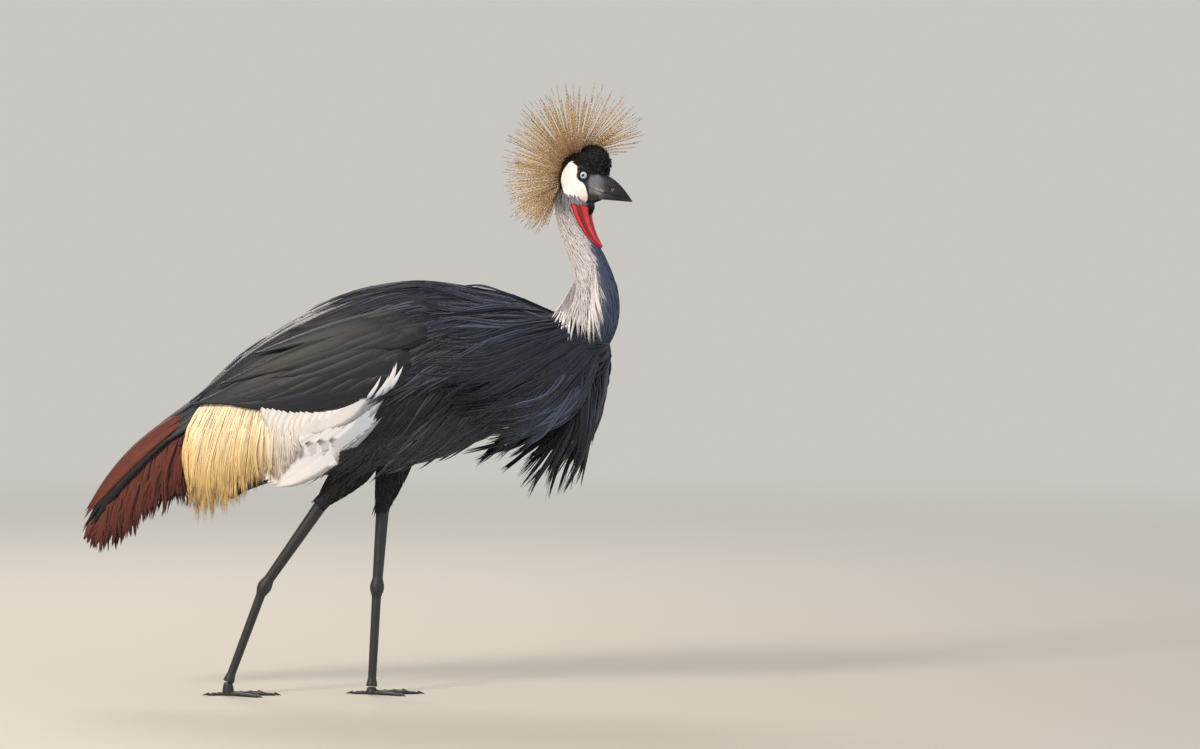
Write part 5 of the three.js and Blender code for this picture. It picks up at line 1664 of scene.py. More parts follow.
    primaries: Tier = Tier(
        count=3,
        roots=(((-282, 536), (-292, 524)),),
        tips=(((-517, 312), (-516, 300), (-512, 284)),),
        half=9, bow=(-0.145, -0.12), lift=2.0, sunk=-4, roll=0.06, widest=0.5, rows=16, seed=53, even=True,
    )

    small: Contour = Contour(BODY, (0.25, 8.3), (-180, 180), 11.5, 9, 35, 5.5, lift=1.2, seed=81)
    back: tuple[Contour, ...] = tuple(
        Contour(BODY, stations, angles, 26, 15, length, half, 1, lift, -2, rows=12, seed=seed, droop=0.12)
        for stations, angles, length, half, lift, seed in (
            ((5.6, 7.2), (-60, 60), 150, 15, 2.0, 83),
            ((3.9, 6.0), (-60, 60), 130, 14, 3.0, 84),
            ((2.2, 4.6), (-66, 66), 110, 11, 3.0, 85),
        )
    )
    mantle: Contour = Contour(
        BODY, (1.5, 4.1), (-84, 84), 15, 4.0, 165, 2.6, 1, 9, -1, rows=12, seed=92, widest=0.35, droop=0.3
    )
    neck: tuple[Contour, ...] = tuple(
        Contour(NECK, stations, (-180, 180), *sizes, -1, lift, -2.0, rows=6, seed=seed, droop=0.3)
        for stations, sizes, lift, seed in (
            ((0.35, 2.6), (7.0, 4.0, 44, 2.1), 1.8, 96),
            ((2.4, 4.6), (5.4, 3.4, 36, 1.8), 0.9, 97),
            ((4.4, 6.75), (4.2, 2.9, 20, 1.4), 0.7, 98),
        )
    )
    breast_tips: Places = (
        (452, 560), (432, 480), (408, 408), (380, 350), (346, 346),
        (300, 368), (252, 388), (214, 412), (176, 440),
    )

    def strands(
        self,
        name: str,
        tier: Tier,
        colours: tuple[Array, Array, Array],
        finish: bpy.types.Material,
        slot: str,
        kinds: str,
        pale: float = 0.2,
        thick: float = 0.7,
        last: Array | None = None,
    ) -> None:
        """Makes one field of long thin plumes on each side.

        Args:
            name: The piece's name, before its side.
            tier: Where the plumes lie.
            colours: Their root and middle tint, and a third tint that some locks take along their length: a
                painted highlight on the shoulder plumes, painted shade on the gold plumes and the ruff.
            finish: Their material.
            slot: Their slot in the record.
            kinds: The solid that they stand for, before its side, or nothing.
            pale: The share of plumes that take the third tint.
            thick: Thickness of a plume in millimetres.
            last: The tint that the tier's last plumes turn to.
        """
        for side in Side:
            sheaf = Sheaf(f"{name}_{side.word}")
            line, face, half, patch, across, luck = tier.lay(side)
            rng = np.random.default_rng(tier.seed)
            share = np.linspace(0, 1, line.shape[1])[None]
            # Some locks take the third tint, a painted highlight on some tiers and painted shade on others.
            light = smooth(1 - pale, 1, luck)[:, None] * smooth(0.1, 0.5, share)
            tint = blend_colour(colours[0], colours[1], smooth(0, 0.8, share) + 0 * luck[:, None])
            if last is not None:
                tint = blend_colour(tint, last, 0.85 * smooth(0.62, 0.95, across)[:, None] + 0 * share)
            tint = lively(blend_colour(tint, colours[2], light), rng, 0.12)
            tint = tint * mix(0.78, 1.2, luck)[:, None, None]
            sheaf.blades(line, face, half, tint, patch, LOCK, thick, 0.2)
            sheaf.build(finish, slot, (f"{kinds}_{side.word}",) if kinds else ())

    def vanes(
        self,
        sheaf: Sheaf,
        tier: Tier,
        side: Side,
        hues: tuple[Array, Array, Array],
        rim_share: float,
        thick: float = 0.8,
        uneven: float = 0.16,
    ) -> None:
        """Adds one tier of broad feathers to a sheaf, each with a shaft and an edge of its own tint.

        Args:
            sheaf: The mesh that they join.
            tier: Where they lie.
            side: Which side of the bird.
            hues: Tints of their root, tip and edge. A paler edge on the slate tiers is a painted sheen, and
                the blue-grey root of the white coverts painted shade.
            rim_share: How much of the edge's colour is its own.
            thick: Their thickness in millimetres.
            uneven: How much their tint and camber differ from flat and even.
        """
        root, tip, rim = hues
        line, face, half, patch, _, _ = tier.lay(side)
        rng = np.random.default_rng(tier.seed + 5)
        share = np.linspace(0, 1, line.shape[1])[None]
        notch = 1 - 0.07 * rng.random(half.shape) * smooth(0.25, 0.6, share)
        tint = blend_colour(root, tip, smooth(0.1, 1, share) + np.zeros((len(line), 1)))
        tint = lively(tint, rng, uneven)
        sheaf.blades(line, face, half * notch, tint, patch, VANE, thick, 0.8 * uneven, rim, rim_share)

    def build_cloak(self, finish: bpy.types.Material) -> None:
        """The slate scapulars, long pointed vanes in tiers from shoulder to rump.

        Args:
            finish: Their material.
        """
        for side in Side:
            sheaf = Sheaf(f"scapular_cloak_{side.word}")
            # The paler tint at each vane's edge, on the ridge and the cloak alike, is a painted sheen.
            for tier in self.ridge:
                self.vanes(sheaf, tier, side, (HUES.back, HUES.slate, HUES.back_sheen), 0.4)
            for tier in self.cloak:
                self.vanes(sheaf, tier, side, (HUES.slate, HUES.slate, HUES.slate_edge_sheen), 0.5)
            sheaf.build(finish, "slate_feather", (f"scapulars_{side.word}",))

    def build_coverts(self, finish: bpy.types.Material) -> None:
        """The white wing coverts over the closed wing.

        Args:
            finish: Their material.
        """
        for side in Side:
            sheaf = Sheaf(f"white_coverts_{side.word}")
            for tier in self.coverts:
                # Each covert's root takes the blue-grey painted shade, its tip the white.
                self.vanes(sheaf, tier, side, (HUES.white_shade_blue, HUES.white, HUES.white), 0.4, 0.5, 0.04)
            sheaf.build(finish, "white_feather", (f"wing_{side.word}",))

    def build_tail(self, chestnut: bpy.types.Material, black: bpy.types.Material) -> None:
        """Chestnut secondaries, black primaries and the black tail between them.

        Args:
            chestnut: The secondaries' material.
            black: The others' material.
        """
        for side in Side:
            sheaf = Sheaf(f"chestnut_vanes_{side.word}")
            for tier in self.tail_top:
                self.vanes(sheaf, tier, side, (HUES.chestnut, HUES.chestnut, HUES.chestnut_dark), 0.3)
            sheaf.build(chestnut, "chestnut_feather", (f"secondaries_{side.word}",))
            sheaf = Sheaf(f"black_primaries_{side.word}")
            self.vanes(sheaf, self.primaries, side, (HUES.black, HUES.black, HUES.slate), 0.3)
            sheaf.build(black, "black_feather", (f"primaries_{side.word}",))
        sheaf = Sheaf("tail_feathers")
        rng = np.random.default_rng(61)
        count, rows = 14, 14
        k = np.arange(count)
        out = (k / (count - 1) * 2 - 1)[:, None]
        share = np.linspace(0, 1, rows + 1)[None]
        station = mix(8.1, 10.95 - 0.5 * np.abs(out) ** 2, share)
        middle, _, up, size = BODY.section(station)
        y = out * mix(8, 15, share)
        rise = 0.5 * size[..., 0] - 9 * np.abs(out) - 0.1 * k[:, None] + 22 * share * hump(share * 0.7)
        flat = middle + rise[..., None] * up
        line = np.stack([flat[..., 0], y + 0 * rise, flat[..., 1]], -1)
        face = np.stack([up[..., 0], out * 0.5 + 0 * rise, up[..., 1]], -1)
        half = 11 * outline_of(share + 0 * out, 0.7, True)
        tint = lively(np.broadcast_to(HUES.black, line.shape), rng, 0.3)
        patch = body_patch(np.full(count, 8.4), 0.4 * np.abs(out[:, 0]), np.sign(out[:, 0]))
        sheaf.blades(line, unit(face), half, tint, patch, VANE, 0.8, 0.12, HUES.slate, 0.3)
        sheaf.build(black, "black_feather", ("tail",))

    def build_breast(self, finish: bpy.types.Material) -> None:
        """Long plumes that hang free from the lower neck and breast, in locks with gaps between them.

        Args:
            finish: Their material.
        """
        sheaf = Sheaf("breast_plumes_hanging")
        rng = np.random.default_rng(71)
        locks, each, rows = 86, 11, 16
        n = locks * each
        s = np.repeat((np.arange(locks) + rng.random(locks)) / locks, each)
        wild = np.repeat(rng.random((locks, 5)), each, 0)
        angle = np.radians(180 + mix(-1, 1, wild[:, 0]) * mix(66, 78, s) + rng.normal(0, 5, n))
        side = np.sign(np.sin(angle))
        station = mix(0.35, 2.35, s) + rng.normal(0, 0.07, n)
        root, out = BODY.point(np.clip(station, 0.2, 3), angle, np.zeros(n))
        foot = Line(self.breast_tips).at(np.clip(s + rng.normal(0, 0.006, n), 0, 1))
        loose = 0.55 * root[:, 1] + 16 * (wild[:, 1] - 0.5) + rng.normal(0, 1.5, n)
        tip = np.stack([foot[:, 0], loose, foot[:, 1]], -1)
        depth = 1 - 0.62 * wild[:, 2] ** 1.3 - 0.08 * rng.random(n)
        tip = mix(root, tip, depth[:, None])
        length = np.linalg.norm(tip - root, axis=1)[:, None]
        knee = mix(root + out * 0.12 * length, tip, 0.14)
        knee[:, 2] -= 0.16 * length[:, 0]
        low = tip + np.stack([mix(6, 64, s), 0 * s, mix(0.42, 0.2, s) * (root[:, 2] - tip[:, 2])], -1)
        w = np.linspace(0, 1, rows + 1)[None, :, None]
        curve = [root[:, None] * (1 - w) ** 3, 3 * knee[:, None] * w * (1 - w) ** 2]
        line = sum(curve) + 3 * low[:, None] * w**2 * (1 - w) + tip[:, None] * w**3
        share = w[:, :, 0]
        turn = 2 * np.pi * wild[:, 3:4] + share * mix(3, 6, wild[:, 4:5]) + rng.uniform(-0.25, 0.25, (n, 1))
        sway = 0.05 * length * share * np.sin(turn)
        line[..., 0] += sway
        line[..., 1] += 0.5 * sway
        aside = np.stack([np.full(n, 0.3), np.where(side == 0, 1, side), np.zeros(n)], -1)
        face = unit(mix(out[:, None], aside[:, None], smooth(0, 0.5, share)[..., None]))
        half = 2.5 * rng.uniform(0.6, 1.2, (n, 1)) * outline_of(share + 0 * length, 0.3, False)
        tint = blend_colour(HUES.blue, HUES.belly, smooth(0.2, 1, share) + 0 * length)
        # Painted highlight: some locks turn paler grey-blue along their upper part where light catches them.
        light = smooth(0.5, 1, wild[:, 4:5]) * smooth(0.95, 0.4, share)
        tint = lively(blend_colour(tint, HUES.blue_highlight, 0.75 * light), rng, 0.2)
        patch = body_patch(station, np.abs(wrapped(angle)), side)
        sheaf.blades(line, face, half, tint, patch, LOCK, 0.7, 0.2)
        sheaf.build(finish, "slate_plume", ("breast_plumes",))

    def build_body(self, finish: bpy.types.Material) -> None:
        """The small feathers that cover the whole body, and the longer ones along the back.

        Args:
            finish: Their material.
        """
        sheaf = Sheaf("body_feathers")
        line, face, half, s, a = self.small.lay()
        rng = np.random.default_rng(82)
        turned = np.abs(wrapped(a))
        tint = Marks.body(*line[:, 0].T, s, turned)
        tint = lively(np.repeat(tint[:, None], line.shape[1], 1), rng, 0.25)
        patch = body_patch(s, turned, np.sign(np.sin(a)))
        sheaf.blades(line, face, half, tint, patch, LOCK, 0.6, 0.2)
        sheaf.build(finish, "slate_feather")
        sheaf = Sheaf("back_feathers")
        for large in self.back:
            line, face, half, s, a = large.lay()
            tint = blend_colour(HUES.slate, HUES.back, smooth(0.9, 0.2, np.abs(a)))
            tint = lively(np.repeat(tint[:, None], line.shape[1], 1), rng, 0.15)
            patch = body_patch(s, np.abs(a), np.sign(a))
            # Each feather's rim takes the painted sheen.
            sheaf.blades(line, face, half, tint, patch, VANE, 0.8, 0.14, HUES.back_sheen, 0.4)
        sheaf.build(finish, "slate_feather")

    def build_mantle(self, finish: bpy.types.Material) -> None:
        """Fine plumes from the foot of the neck back over the shoulders and the middle of the back.

        Args:
            finish: Their material.
        """
        sheaf = Sheaf("mantle_plumes")
        rng = np.random.default_rng(91)
        line, face, half, s, a = self.mantle.lay()
        luck = rng.random(len(s))
        share = np.linspace(0, 1, line.shape[1])[None]
        tint = blend_colour(HUES.blue, HUES.back, smooth(1.8, 3.4, s)[:, None] + 0 * share)
        # Painted highlight: some plumes turn paler along their length where light catches them.
        tint = blend_colour(tint, HUES.back_sheen, smooth(0.6, 1, luck)[:, None] * smooth(0, 0.4, share))
        patch = body_patch(s, np.abs(a), np.sign(a))
        sheaf.blades(line, face, half, lively(tint, rng, 0.25), patch, LOCK, 0.7, 0.2)
        sheaf.build(finish, "slate_plume")

    def build_neck(self, finish: bpy.types.Material) -> None:
        """The neck's small pointed feathers, finer towards the head.

        Args:
            finish: Their material.
        """
        sheaf = Sheaf("neck_feathers")
        rng = np.random.default_rng(95)
        for band in self.neck:
            line, face, half, s, a = band.lay()
            share = np.linspace(0, 1, line.shape[1])[None]
            turned = wrapped(a)
            tint = Marks.neck(s, a)
            # Painted highlight: on the nape side the feathers' tips turn paler where the light falls on them.
            behind = smooth(1.9, 1.4, np.abs(turned)) * smooth(6.2, 5, s)
            pale = blend_colour(tint, HUES.neck_tip, 0.35 * behind)
            tint = mix(tint[:, None], pale[:, None], smooth(0.2, 0.9, share)[..., None])
            patch = np.stack([0.02 + 0.96 * s / NECK.last, 0.5 + 0.48 * turned / np.pi], -1)
            sheaf.blades(line, face, half, lively(tint, rng, 0.1), patch, LOCK, 0.35, 0.14)
        sheaf.build(finish, "pale_grey_feather")

    def build(self) -> None:
        """Makes every piece of the body's plumage."""
        slate = FeatherFinish("slate_feather_barbed", rough=0.5, sheen=0.08, contrast=0.35, barb=1.4).make()
        plume = FeatherFinish("slate_blue_plume_loose", rough=0.5, sheen=0.15, contrast=0.3).make()
        pale = FeatherFinish("pale_grey_feather_soft", rough=0.75, sheen=0.1, contrast=0.15).make()
        white = FeatherFinish("white_feather_smooth", 0.7, 0.05, 1.6, contrast=0.07, relief=0.15)
        straw = FeatherFinish("straw_plume_silky", rough=0.55, sheen=0.1, contrast=0.2).make()
        chestnut = FeatherFinish("chestnut_feather_loose", rough=0.65, sheen=0.1, contrast=0.35).make()
        black = FeatherFinish("black_feather_stiff", rough=0.45, sheen=0.1, contrast=0.3, barb=1.4).make()
        self.build_body(slate)
        self.build_mantle(plume)
        self.build_neck(pale)
        self.build_cloak(slate)
        self.build_coverts(white.make())
        self.build_tail(chestnut, black)
        self.build_breast(plume)
        h = HUES
        # The shoulder plumes' third tint is a painted highlight; the ruff's slate blue and the gold plumes'
        # brown are painted shade.
        blues, darks = (h.blue, h.blue, h.blue_highlight), (h.belly, h.belly, h.belly_light)
        greys = (h.neck, h.neck_tip, h.neck_front_shade)
        golds, reds = (h.gold_pale, h.gold, h.gold_shade), (h.chestnut, h.chestnut, h.chestnut_dark)
        for settings in (
            ("shoulder_plume", self.shoulder, blues, plume, "slate_plume", "shoulder_plumes", 0.45),
            ("flank_plume", self.belly, darks, plume, "slate_feather", "flank_plumes", 0.35),
            ("ruff", self.ruff, greys, pale, "pale_grey_feather", "", 0.35, 0.5),
            ("gold_plume", self.gold, golds, straw, "straw_plume", "gold_plumes", 0.3, 0.4, h.white),
            ("chestnut_plume", self.chestnut, reds, chestnut, "chestnut_feather", "", 0.6),
        ):
            self.strands(*settings)


@dataclass(frozen=True)
class Crest:
    """The crown of stiff straw-gold bristles, each twisted, with a painted highlight that comes and goes
    along it with the twist.
    """

    count: int = 620
    length: float = 120.0
    radius: float = 1.25
    lean: float = 44.0
    spread: float = 117.0
    twist: float = 7.4
    band: Places = ((12, 46), (-4, 44), (-14, 38), (-25, 24), (-30, 6), (-29, -14))

    def build(self) -> None:
        """Makes the bristles."""
        rng = np.random.default_rng(111)
        k = np.arange(self.count)
        rise = mix(1.0, math.cos(math.radians(self.spread)), (k + 0.5) / self.count)
        turn = k * math.pi * (3 - math.sqrt(5)) + rng.uniform(-0.1, 0.1, self.count)
        flat = np.sqrt(1 - rise**2)
        raw = np.stack([flat * np.cos(turn), flat * np.sin(turn), rise], -1)
        lean = math.radians(-self.lean)
        c, s = math.cos(lean), math.sin(lean)
        heading = np.stack([raw[:, 0] * c + raw[:, 2] * s, raw[:, 1], -raw[:, 0] * s + raw[:, 2] * c], -1)
        climb = np.arctan2(heading[:, 2], -heading[:, 0])
        share = np.clip(1 - (climb + 0.35) / 2.4, 0.02, 0.98)
        band = Line(self.band).at(share)
        wide = 14 * (0.5 + 0.5 * hump(share))
        root = np.stack([band[:, 0], wide * heading[:, 1], band[:, 1]], -1) - heading * 5
        # The near side's brow, the way below the nape and the side ahead of the bill have none.
        keep = ~((heading[:, 1] < 0.15) & (heading[:, 0] > -0.02) & (heading[:, 2] < 0.55))
        keep &= ~((heading[:, 2] < -0.45) & (heading[:, 0] > -0.4))
        keep &= ~((heading[:, 0] > 0.3) & (heading[:, 1] < 0.1))
        root, heading = root[keep], heading[keep]
        n, rows = len(root), 40
        stretch = 0.9 + 0.2 * np.maximum(0, heading[:, 2:]) + 0.12 * np.maximum(0, heading[:, :1])
        length = self.length * stretch * rng.uniform(0.78, 1.09, (n, 1))
        w = np.linspace(0, 1, rows + 1)[None]
        aside = unit(np.cross(heading, rng.normal(size=(n, 3))))
        line = root[:, None] + heading[:, None] * (w * length)[..., None]
        line = line + aside[:, None] * (rng.normal(0, 3, (n, 1)) * w**2)[..., None]
        line[..., 2] -= 3.0 * w**2
        radius = self.radius * np.minimum(1, 1.15 - 0.55 * w) * np.where(w > 0.97, 0.3, 1) + 0 * length
        phase = rng.uniform(0, 6.28, (n, 1)) + w * length / self.twist * 2 * np.pi
        # Painted highlight: the bristle turns pale and back again along its length as its twist catches the
        # light.
        light = 0.5 + 0.5 * np.sin(phase)
        tint = blend_colour(HUES.straw, HUES.straw_highlight, light)
        tint = blend_colour(tint, HUES.straw_root, smooth(0.3, 0.0, w) + 0 * light)
        tint = blend_colour(tint, HUES.straw_dark, smooth(0.88, 0.99, w) * rng.uniform(0.2, 1, (n, 1)))
        twist = np.cos(phase / 2)[..., None] * aside[:, None]
        twist = twist + np.sin(phase / 2)[..., None] * np.cross(heading, aside)[:, None]
        sheaf = Sheaf("crest_bristles")
        patch = np.stack([0.02 + 0.96 * share[keep], 0.5 + 0.45 * heading[:, 1]], -1)
        tint = lively(tint, rng, 0.12)
        sheaf.blades(SKULL.world(line), SKULL.world(twist, True), radius, tint, patch, LOCK, 0.55, 0.2)
        finish = FeatherFinish("straw_bristle_twisted", rough=0.42, sheen=0.0, contrast=0.08, relief=0.1)
        sheaf.build(finish.make(), "straw_bristle", ("crest",))


@dataclass(frozen=True)
class HeadCoat:
    """The head's short plumage: the velvet cap with its curls, and the small feathers of throat and nape."""

    cap_tufts: int = 2600
    curls: int = 260
    face_tufts: int = 2700

    def _tufts(
        self,
        sheaf: Sheaf,
        roots: tuple[Array, Array],
        heading: Array,
        sizes: tuple[float, float, float],
        tints: Array,
        rng: np.random.Generator,
        curl: float = 0.0,
    ) -> None:
        """Adds short tufts that lie along the skin.

        Args:
            sheaf: The mesh that they join.
            roots: Their places on the head, and the way that it faces there.
            heading: Where their tips point.
            sizes: Length, half width, and the share of the length by which they stand off the skin.
            tints: Colour of each tuft.
            rng: What draws their luck.
            curl: How far their tips turn back.
        """
        spots, normals = roots
        length, half, stand = sizes
        n, rows = len(spots), 4
        w = np.linspace(0, 1, rows + 1)[None, :, None]
        along = unit(heading - (heading * normals).sum(-1, keepdims=True) * normals)
        size = length * rng.uniform(0.7, 1.2, (n, 1, 1))
        rise = stand * np.sin(w * np.pi * (0.5 + curl * 0.45))
        line = spots[:, None] + along[:, None] * size * (w - curl * 0.5 * w**3)
        line = line + normals[:, None] * (size * rise - 0.8)
        width = half * rng.uniform(0.75, 1.2, (n, 1)) * outline_of(w[:, :, 0] + np.zeros((n, 1)), 0.4, False)
        tint = lively(np.repeat(tints[:, None], rows + 1, 1), rng, 0.3)
        patch = 0.5 + spots[:, ::2] / HEAD_MAP
        face = np.repeat(normals[:, None], rows + 1, 1)
        sheaf.blades(SKULL.world(line), SKULL.world(face, True), width, tint, patch, LOCK, 0.3, 0.25)

    def build(self, skin: Skin) -> None:
        """Makes the cap and the head's small feathers.

        Args:
            skin: The bird's skin, whose head they stand on.
        """
        rng = np.random.default_rng(121)
        spots, normals = skin.head_spots, skin.head_normals
        x, y, z = spots.T
        cx, cz, long, wide, tall = SKULL.cap
        on_cap = (((x - cx) / long) ** 2 + (y / wide) ** 2 + ((z - cz) / tall) ** 2 < 1.0) & (z > 6)
        on_cap |= (z > 24) & (x > -18) & (x < 62)
        bean, eye = SKULL.bean_depth(x, z), SKULL.eye_distance(x, z)
        clear = (bean < -1.0) & (eye > 13)
        cap = np.flatnonzero(on_cap & (clear | (np.abs(y) < 12)) & (x < 66))
        pick = rng.choice(cap, self.cap_tufts)
        velvet = FeatherFinish("black_velvet_feather_dense", rough=0.6, sheen=0.04, contrast=0.2).make()
        sheaf = Sheaf("cap_velvet")
        knob = 1 + 0.6 * np.sin(x[pick] * 0.33) * np.sin(y[pick] * 0.4 + 1) * np.sin(z[pick] * 0.31)
        back = -0.6 + 0.5 * np.sin(z[pick] * 0.4)
        heading = np.stack([back, 0.4 * np.sign(y[pick]), np.full(len(pick), 0.3)], -1)
        tints = np.repeat(HUES.velvet[None], len(pick), 0) * knob[:, None].clip(0.6, 1.6)
        self._tufts(sheaf, (spots[pick], normals[pick]), heading, (7.5, 1.5, 0.55), tints, rng)
        front = cap[(x[cap] > 24) & (z[cap] < 52)]
        pick = rng.choice(front, self.curls)
        heading = np.stack([mean + rng.normal(0, 0.5, self.curls) for mean in (-0.3, 0.0, -0.4)], -1)
        # The curls' lighter tint is a painted highlight.
        tints = np.repeat(HUES.curl[None], len(pick), 0)
        self._tufts(sheaf, (spots[pick], normals[pick]), heading, (11, 1.3, 0.5), tints, rng, 0.6)
        sheaf.build(velvet, "black_velvet", ("cap",))
        bare = (x > 24) & (z < 14) & (z > -36)
        low = np.flatnonzero(~on_cap & clear & ~bare & (z < 40) & (z > -88))
        pick = rng.choice(low, self.face_tufts)
        sheaf = Sheaf("throat_and_nape_feathers")
        flow = np.repeat([[-0.6, 0.0, -0.9]], len(pick), 0)
        tints = SKULL.tint(x[pick], y[pick], z[pick])
        grey = smooth(-48, -62, z[pick]) * smooth(20, 2, x[pick])
        tints = blend_colour(tints, HUES.neck * 0.6, grey)
        self._tufts(sheaf, (spots[pick], normals[pick]), flow, (7.0, 1.0, 0.16), tints, rng)
        sheaf.build(velvet, "black_velvet")


@dataclass(frozen=True)
class Eyes:
    """Pale blue-grey eyes with round black pupils under a clear wet surface."""

    iris: float = 7.0
    pupil: float = 2.8

    def build(self) -> None:
        """Makes one eyeball on each side, its axis out from the head."""
        finish = self.finish()
        ex, ez, ey = SKULL.eye
        radius = SKULL.eye_radius
        for side in Side:
            fall, turn = grid(0.01, np.pi - 0.01, 64, 48)
            across = radius * np.sin(fall)
            out = side.value * (ey + 0.85 * radius * np.cos(fall))
            spots, faces = tube(np.stack([ex + across * np.cos(turn), out, ez + across * np.sin(turn)], -1))
            off = np.hypot(spots[:, 0] - ex, spots[:, 2] - ez)
            front = (np.abs(spots[:, 1]) > ey).astype(float)
            ray = 0.5 + 0.5 * np.sin(np.arctan2(spots[:, 2] - ez, spots[:, 0] - ex) * 30)
            tint = blend_colour(HUES.iris, HUES.iris_ray, ray * smooth(3, 6, off))
            tint = blend_colour(tint, HUES.iris_rim, smooth(self.iris - 1.3, self.iris - 0.2, off))
            tint = blend_colour(tint, HUES.lid, smooth(self.iris - 0.3, self.iris + 0.3, off))
            tint = blend_colour(tint, HUES.pupil, smooth(self.pupil + 0.3, self.pupil - 0.3, off))
            tint = tint * front[:, None]
            sheaf = Sheaf(f"eyeball_{side.word}")
            patch = 0.5 + np.stack([spots[:, 0] - ex, spots[:, 2] - ez], -1) / 40
            sheaf.add(SKULL.world(spots), faces, tint, patch)
            sheaf.build(finish, "eye", (f"eye_{side.word}",))

    def finish(self) -> bpy.types.Material:
        """Cornea over iris: a clear wet dome that gives one hard glint."""
        made, tree = new_material("eye_cornea_wet")
        tint = add_node(tree, "ShaderNodeAttribute", attribute_name="tint")
        surface = add_node(
            tree,
            "ShaderNodeBsdfPrincipled",
            {
                "Base Color": tint.outputs["Color"],
                "Roughness": 0.25,
                "Coat Weight": 1.0,
                "Coat Roughness": 0.03,
                "Coat IOR": 1.38,
            },
        )
        add_node(tree, "ShaderNodeOutputMaterial", {"Surface": surface.outputs["BSDF"]})
        return made


@dataclass(frozen=True)
class Bill:
    """The short dark bill in two halves, with the nostrils in grooves and a curved tip."""

    root: float = 40.0
    from_x: float = 47.0
    tip: float = 106.0
    tip_drop: float = -42.5
    mouth: float = -25.0
    root_top: float = 7.0
    root_bottom: float = -38.5
    side: float = 12.0
    nostril: tuple[float, float] = (66.0, -17.0)
    rings: int = 90
    around: int = 48

    def half(self, upper: bool) -> tuple[Array, Array]:
        """One half of the bill in the head's own frame.

        Args:
            upper: Whether it is the upper half.

        Returns:
            Corners and triangles.
        """
        x = np.linspace(self.root, self.tip, self.rings)[:, None]
        share = np.clip((x - self.from_x) / (self.tip - self.from_x), -0.15, 1)
        angle = circle(self.around)[None]
        sign = 1 if upper else -1
        ahead = np.maximum(share, 0)
        mouth = mix(self.mouth, self.tip_drop, ahead**1.4) + sign * 0.25 + 6 * np.minimum(share, 0)
        taper = 1 - ahead ** (2.1 if upper else 1.5)
        edge = mouth + ((self.root_top if upper else self.root_bottom) - self.mouth) * taper + sign * 0.8
        half = (self.side - 1.2) * (1 - ahead**1.5) + 1.2
        up = np.maximum(0, sign * np.cos(angle))
        y = half * np.sign(np.sin(angle)) * np.abs(np.sin(angle)) ** (0.85 if upper else 0.9)
        z = mix(mouth, edge, up**0.9)
        if upper:
            along, high = x - self.nostril[0], z - self.nostril[1]
            off = np.hypot(along / 6.6, (high + 0.35 * along) / 4.0)
            groove = np.hypot((along - 2) / 15, (high + 0.3 * along) / 5)
            deep = np.minimum(0.5 * np.abs(y), 1.0 * smooth(1.1, 0.4, groove) + 2.6 * smooth(1.1, 0.6, off))
            y = y - np.sign(y) * deep
        return tube(np.stack(np.broadcast_arrays(x, y, z), -1))

    def build(self) -> None:
        """Makes both halves."""
        finish = HornFinish("bill_horn_polished", rough=0.3, coat=0.08).make()
        for upper, name in ((True, "upper"), (False, "lower")):
            spots, faces = self.half(upper)
            x, _, z = spots.T
            along, high = x - self.nostril[0], z - self.nostril[1]
            off = np.hypot(along / 6.4, (high + 0.35 * along) / 3.8)
            tint = blend_colour(HUES.bill_root, HUES.bill, smooth(46, 60, x))
            tint = blend_colour(tint, HUES.bill_tip, smooth(62, 82, x))
            # The nostril's opening is painted black, as shade inside it.
            if upper:
                tint = blend_colour(tint, HUES.nostril, smooth(1.15, 0.8, off))
            sheaf = Sheaf(f"bill_horn_{name}")
            patch = np.stack([x, z + 75], -1) / 150
            sheaf.add(SKULL.world(spots), faces, tint, patch)
            sheaf.build(finish, "horn", (f"bill_{name}",))


@dataclass(frozen=True)
class Wattle:
    """The red throat wattle, bare skin in folds that wraps the neck's front and narrows to a point."""

    stations: tuple[float, float] = (5.95, 3.4)
    reach: tuple[float, float] = (8.0, 98.0)
    folds: int = 4
    rows: int = 90
    columns: int = 72

    def build(self) -> None:
        """Makes the wattle as a closed shell over the neck."""
        w, c = np.meshgrid(np.linspace(0, 1, self.rows), np.linspace(-1, 1, self.columns), indexing="ij")
        station = mix(*self.stations, w) - 0.12 * (1 - np.abs(c)) * (1 - w)
        reach = np.radians(mix(*self.reach, np.sqrt(1 - w)))
        angle = np.pi + c * reach
        edge = smooth(1.0, 0.9, np.abs(c)) * smooth(0, 0.05, w) * smooth(1, 0.97, w)
        fold = 0.5 + 0.5 * np.cos(c * np.pi * self.folds + 0.5 * np.sin(w * 5))
        crease = 0.5 + 0.5 * np.cos(c * 31 + 6 * np.sin(w * 4 + c * 2))
        keel = 2.0 * smooth(0.5, 0, np.abs(c)) * (1 - w)
        height = 0.6 + edge * (1.6 + 4.6 * fold**0.7 + 0.35 * crease + keel)
        outer, _ = NECK.point(station, angle, height)
        inner, _ = NECK.point(station, angle, -1.5 + 0 * height)
        rings = np.concatenate([outer, inner[:, ::-1]], 1)
        spots, faces = tube(rings)
        # Painted shade: the wattle turns darker red where its folds sink and at its edges.
        deep = np.concatenate([fold * edge, np.zeros_like(fold)], 1).ravel()
        deep = np.concatenate([deep, [0, 0]])
        tint = blend_colour(HUES.wattle_fold_shade, HUES.wattle, smooth(0.1, 0.75, deep))
        sheaf = Sheaf("throat_wattle")
        patch = np.stack([0.5 + spots[:, 0] / 3000, spots[:, 2] / 1200], -1)
        sheaf.add(spots, faces, tint, patch)
        moist = SkinFinish("wattle_skin_moist", 0.38, grain=1.0, mottle=5, relief=0.35, soft=0.15, coat=0.3)
        sheaf.build(moist.make(), "bare_red_skin", ("wattle",))


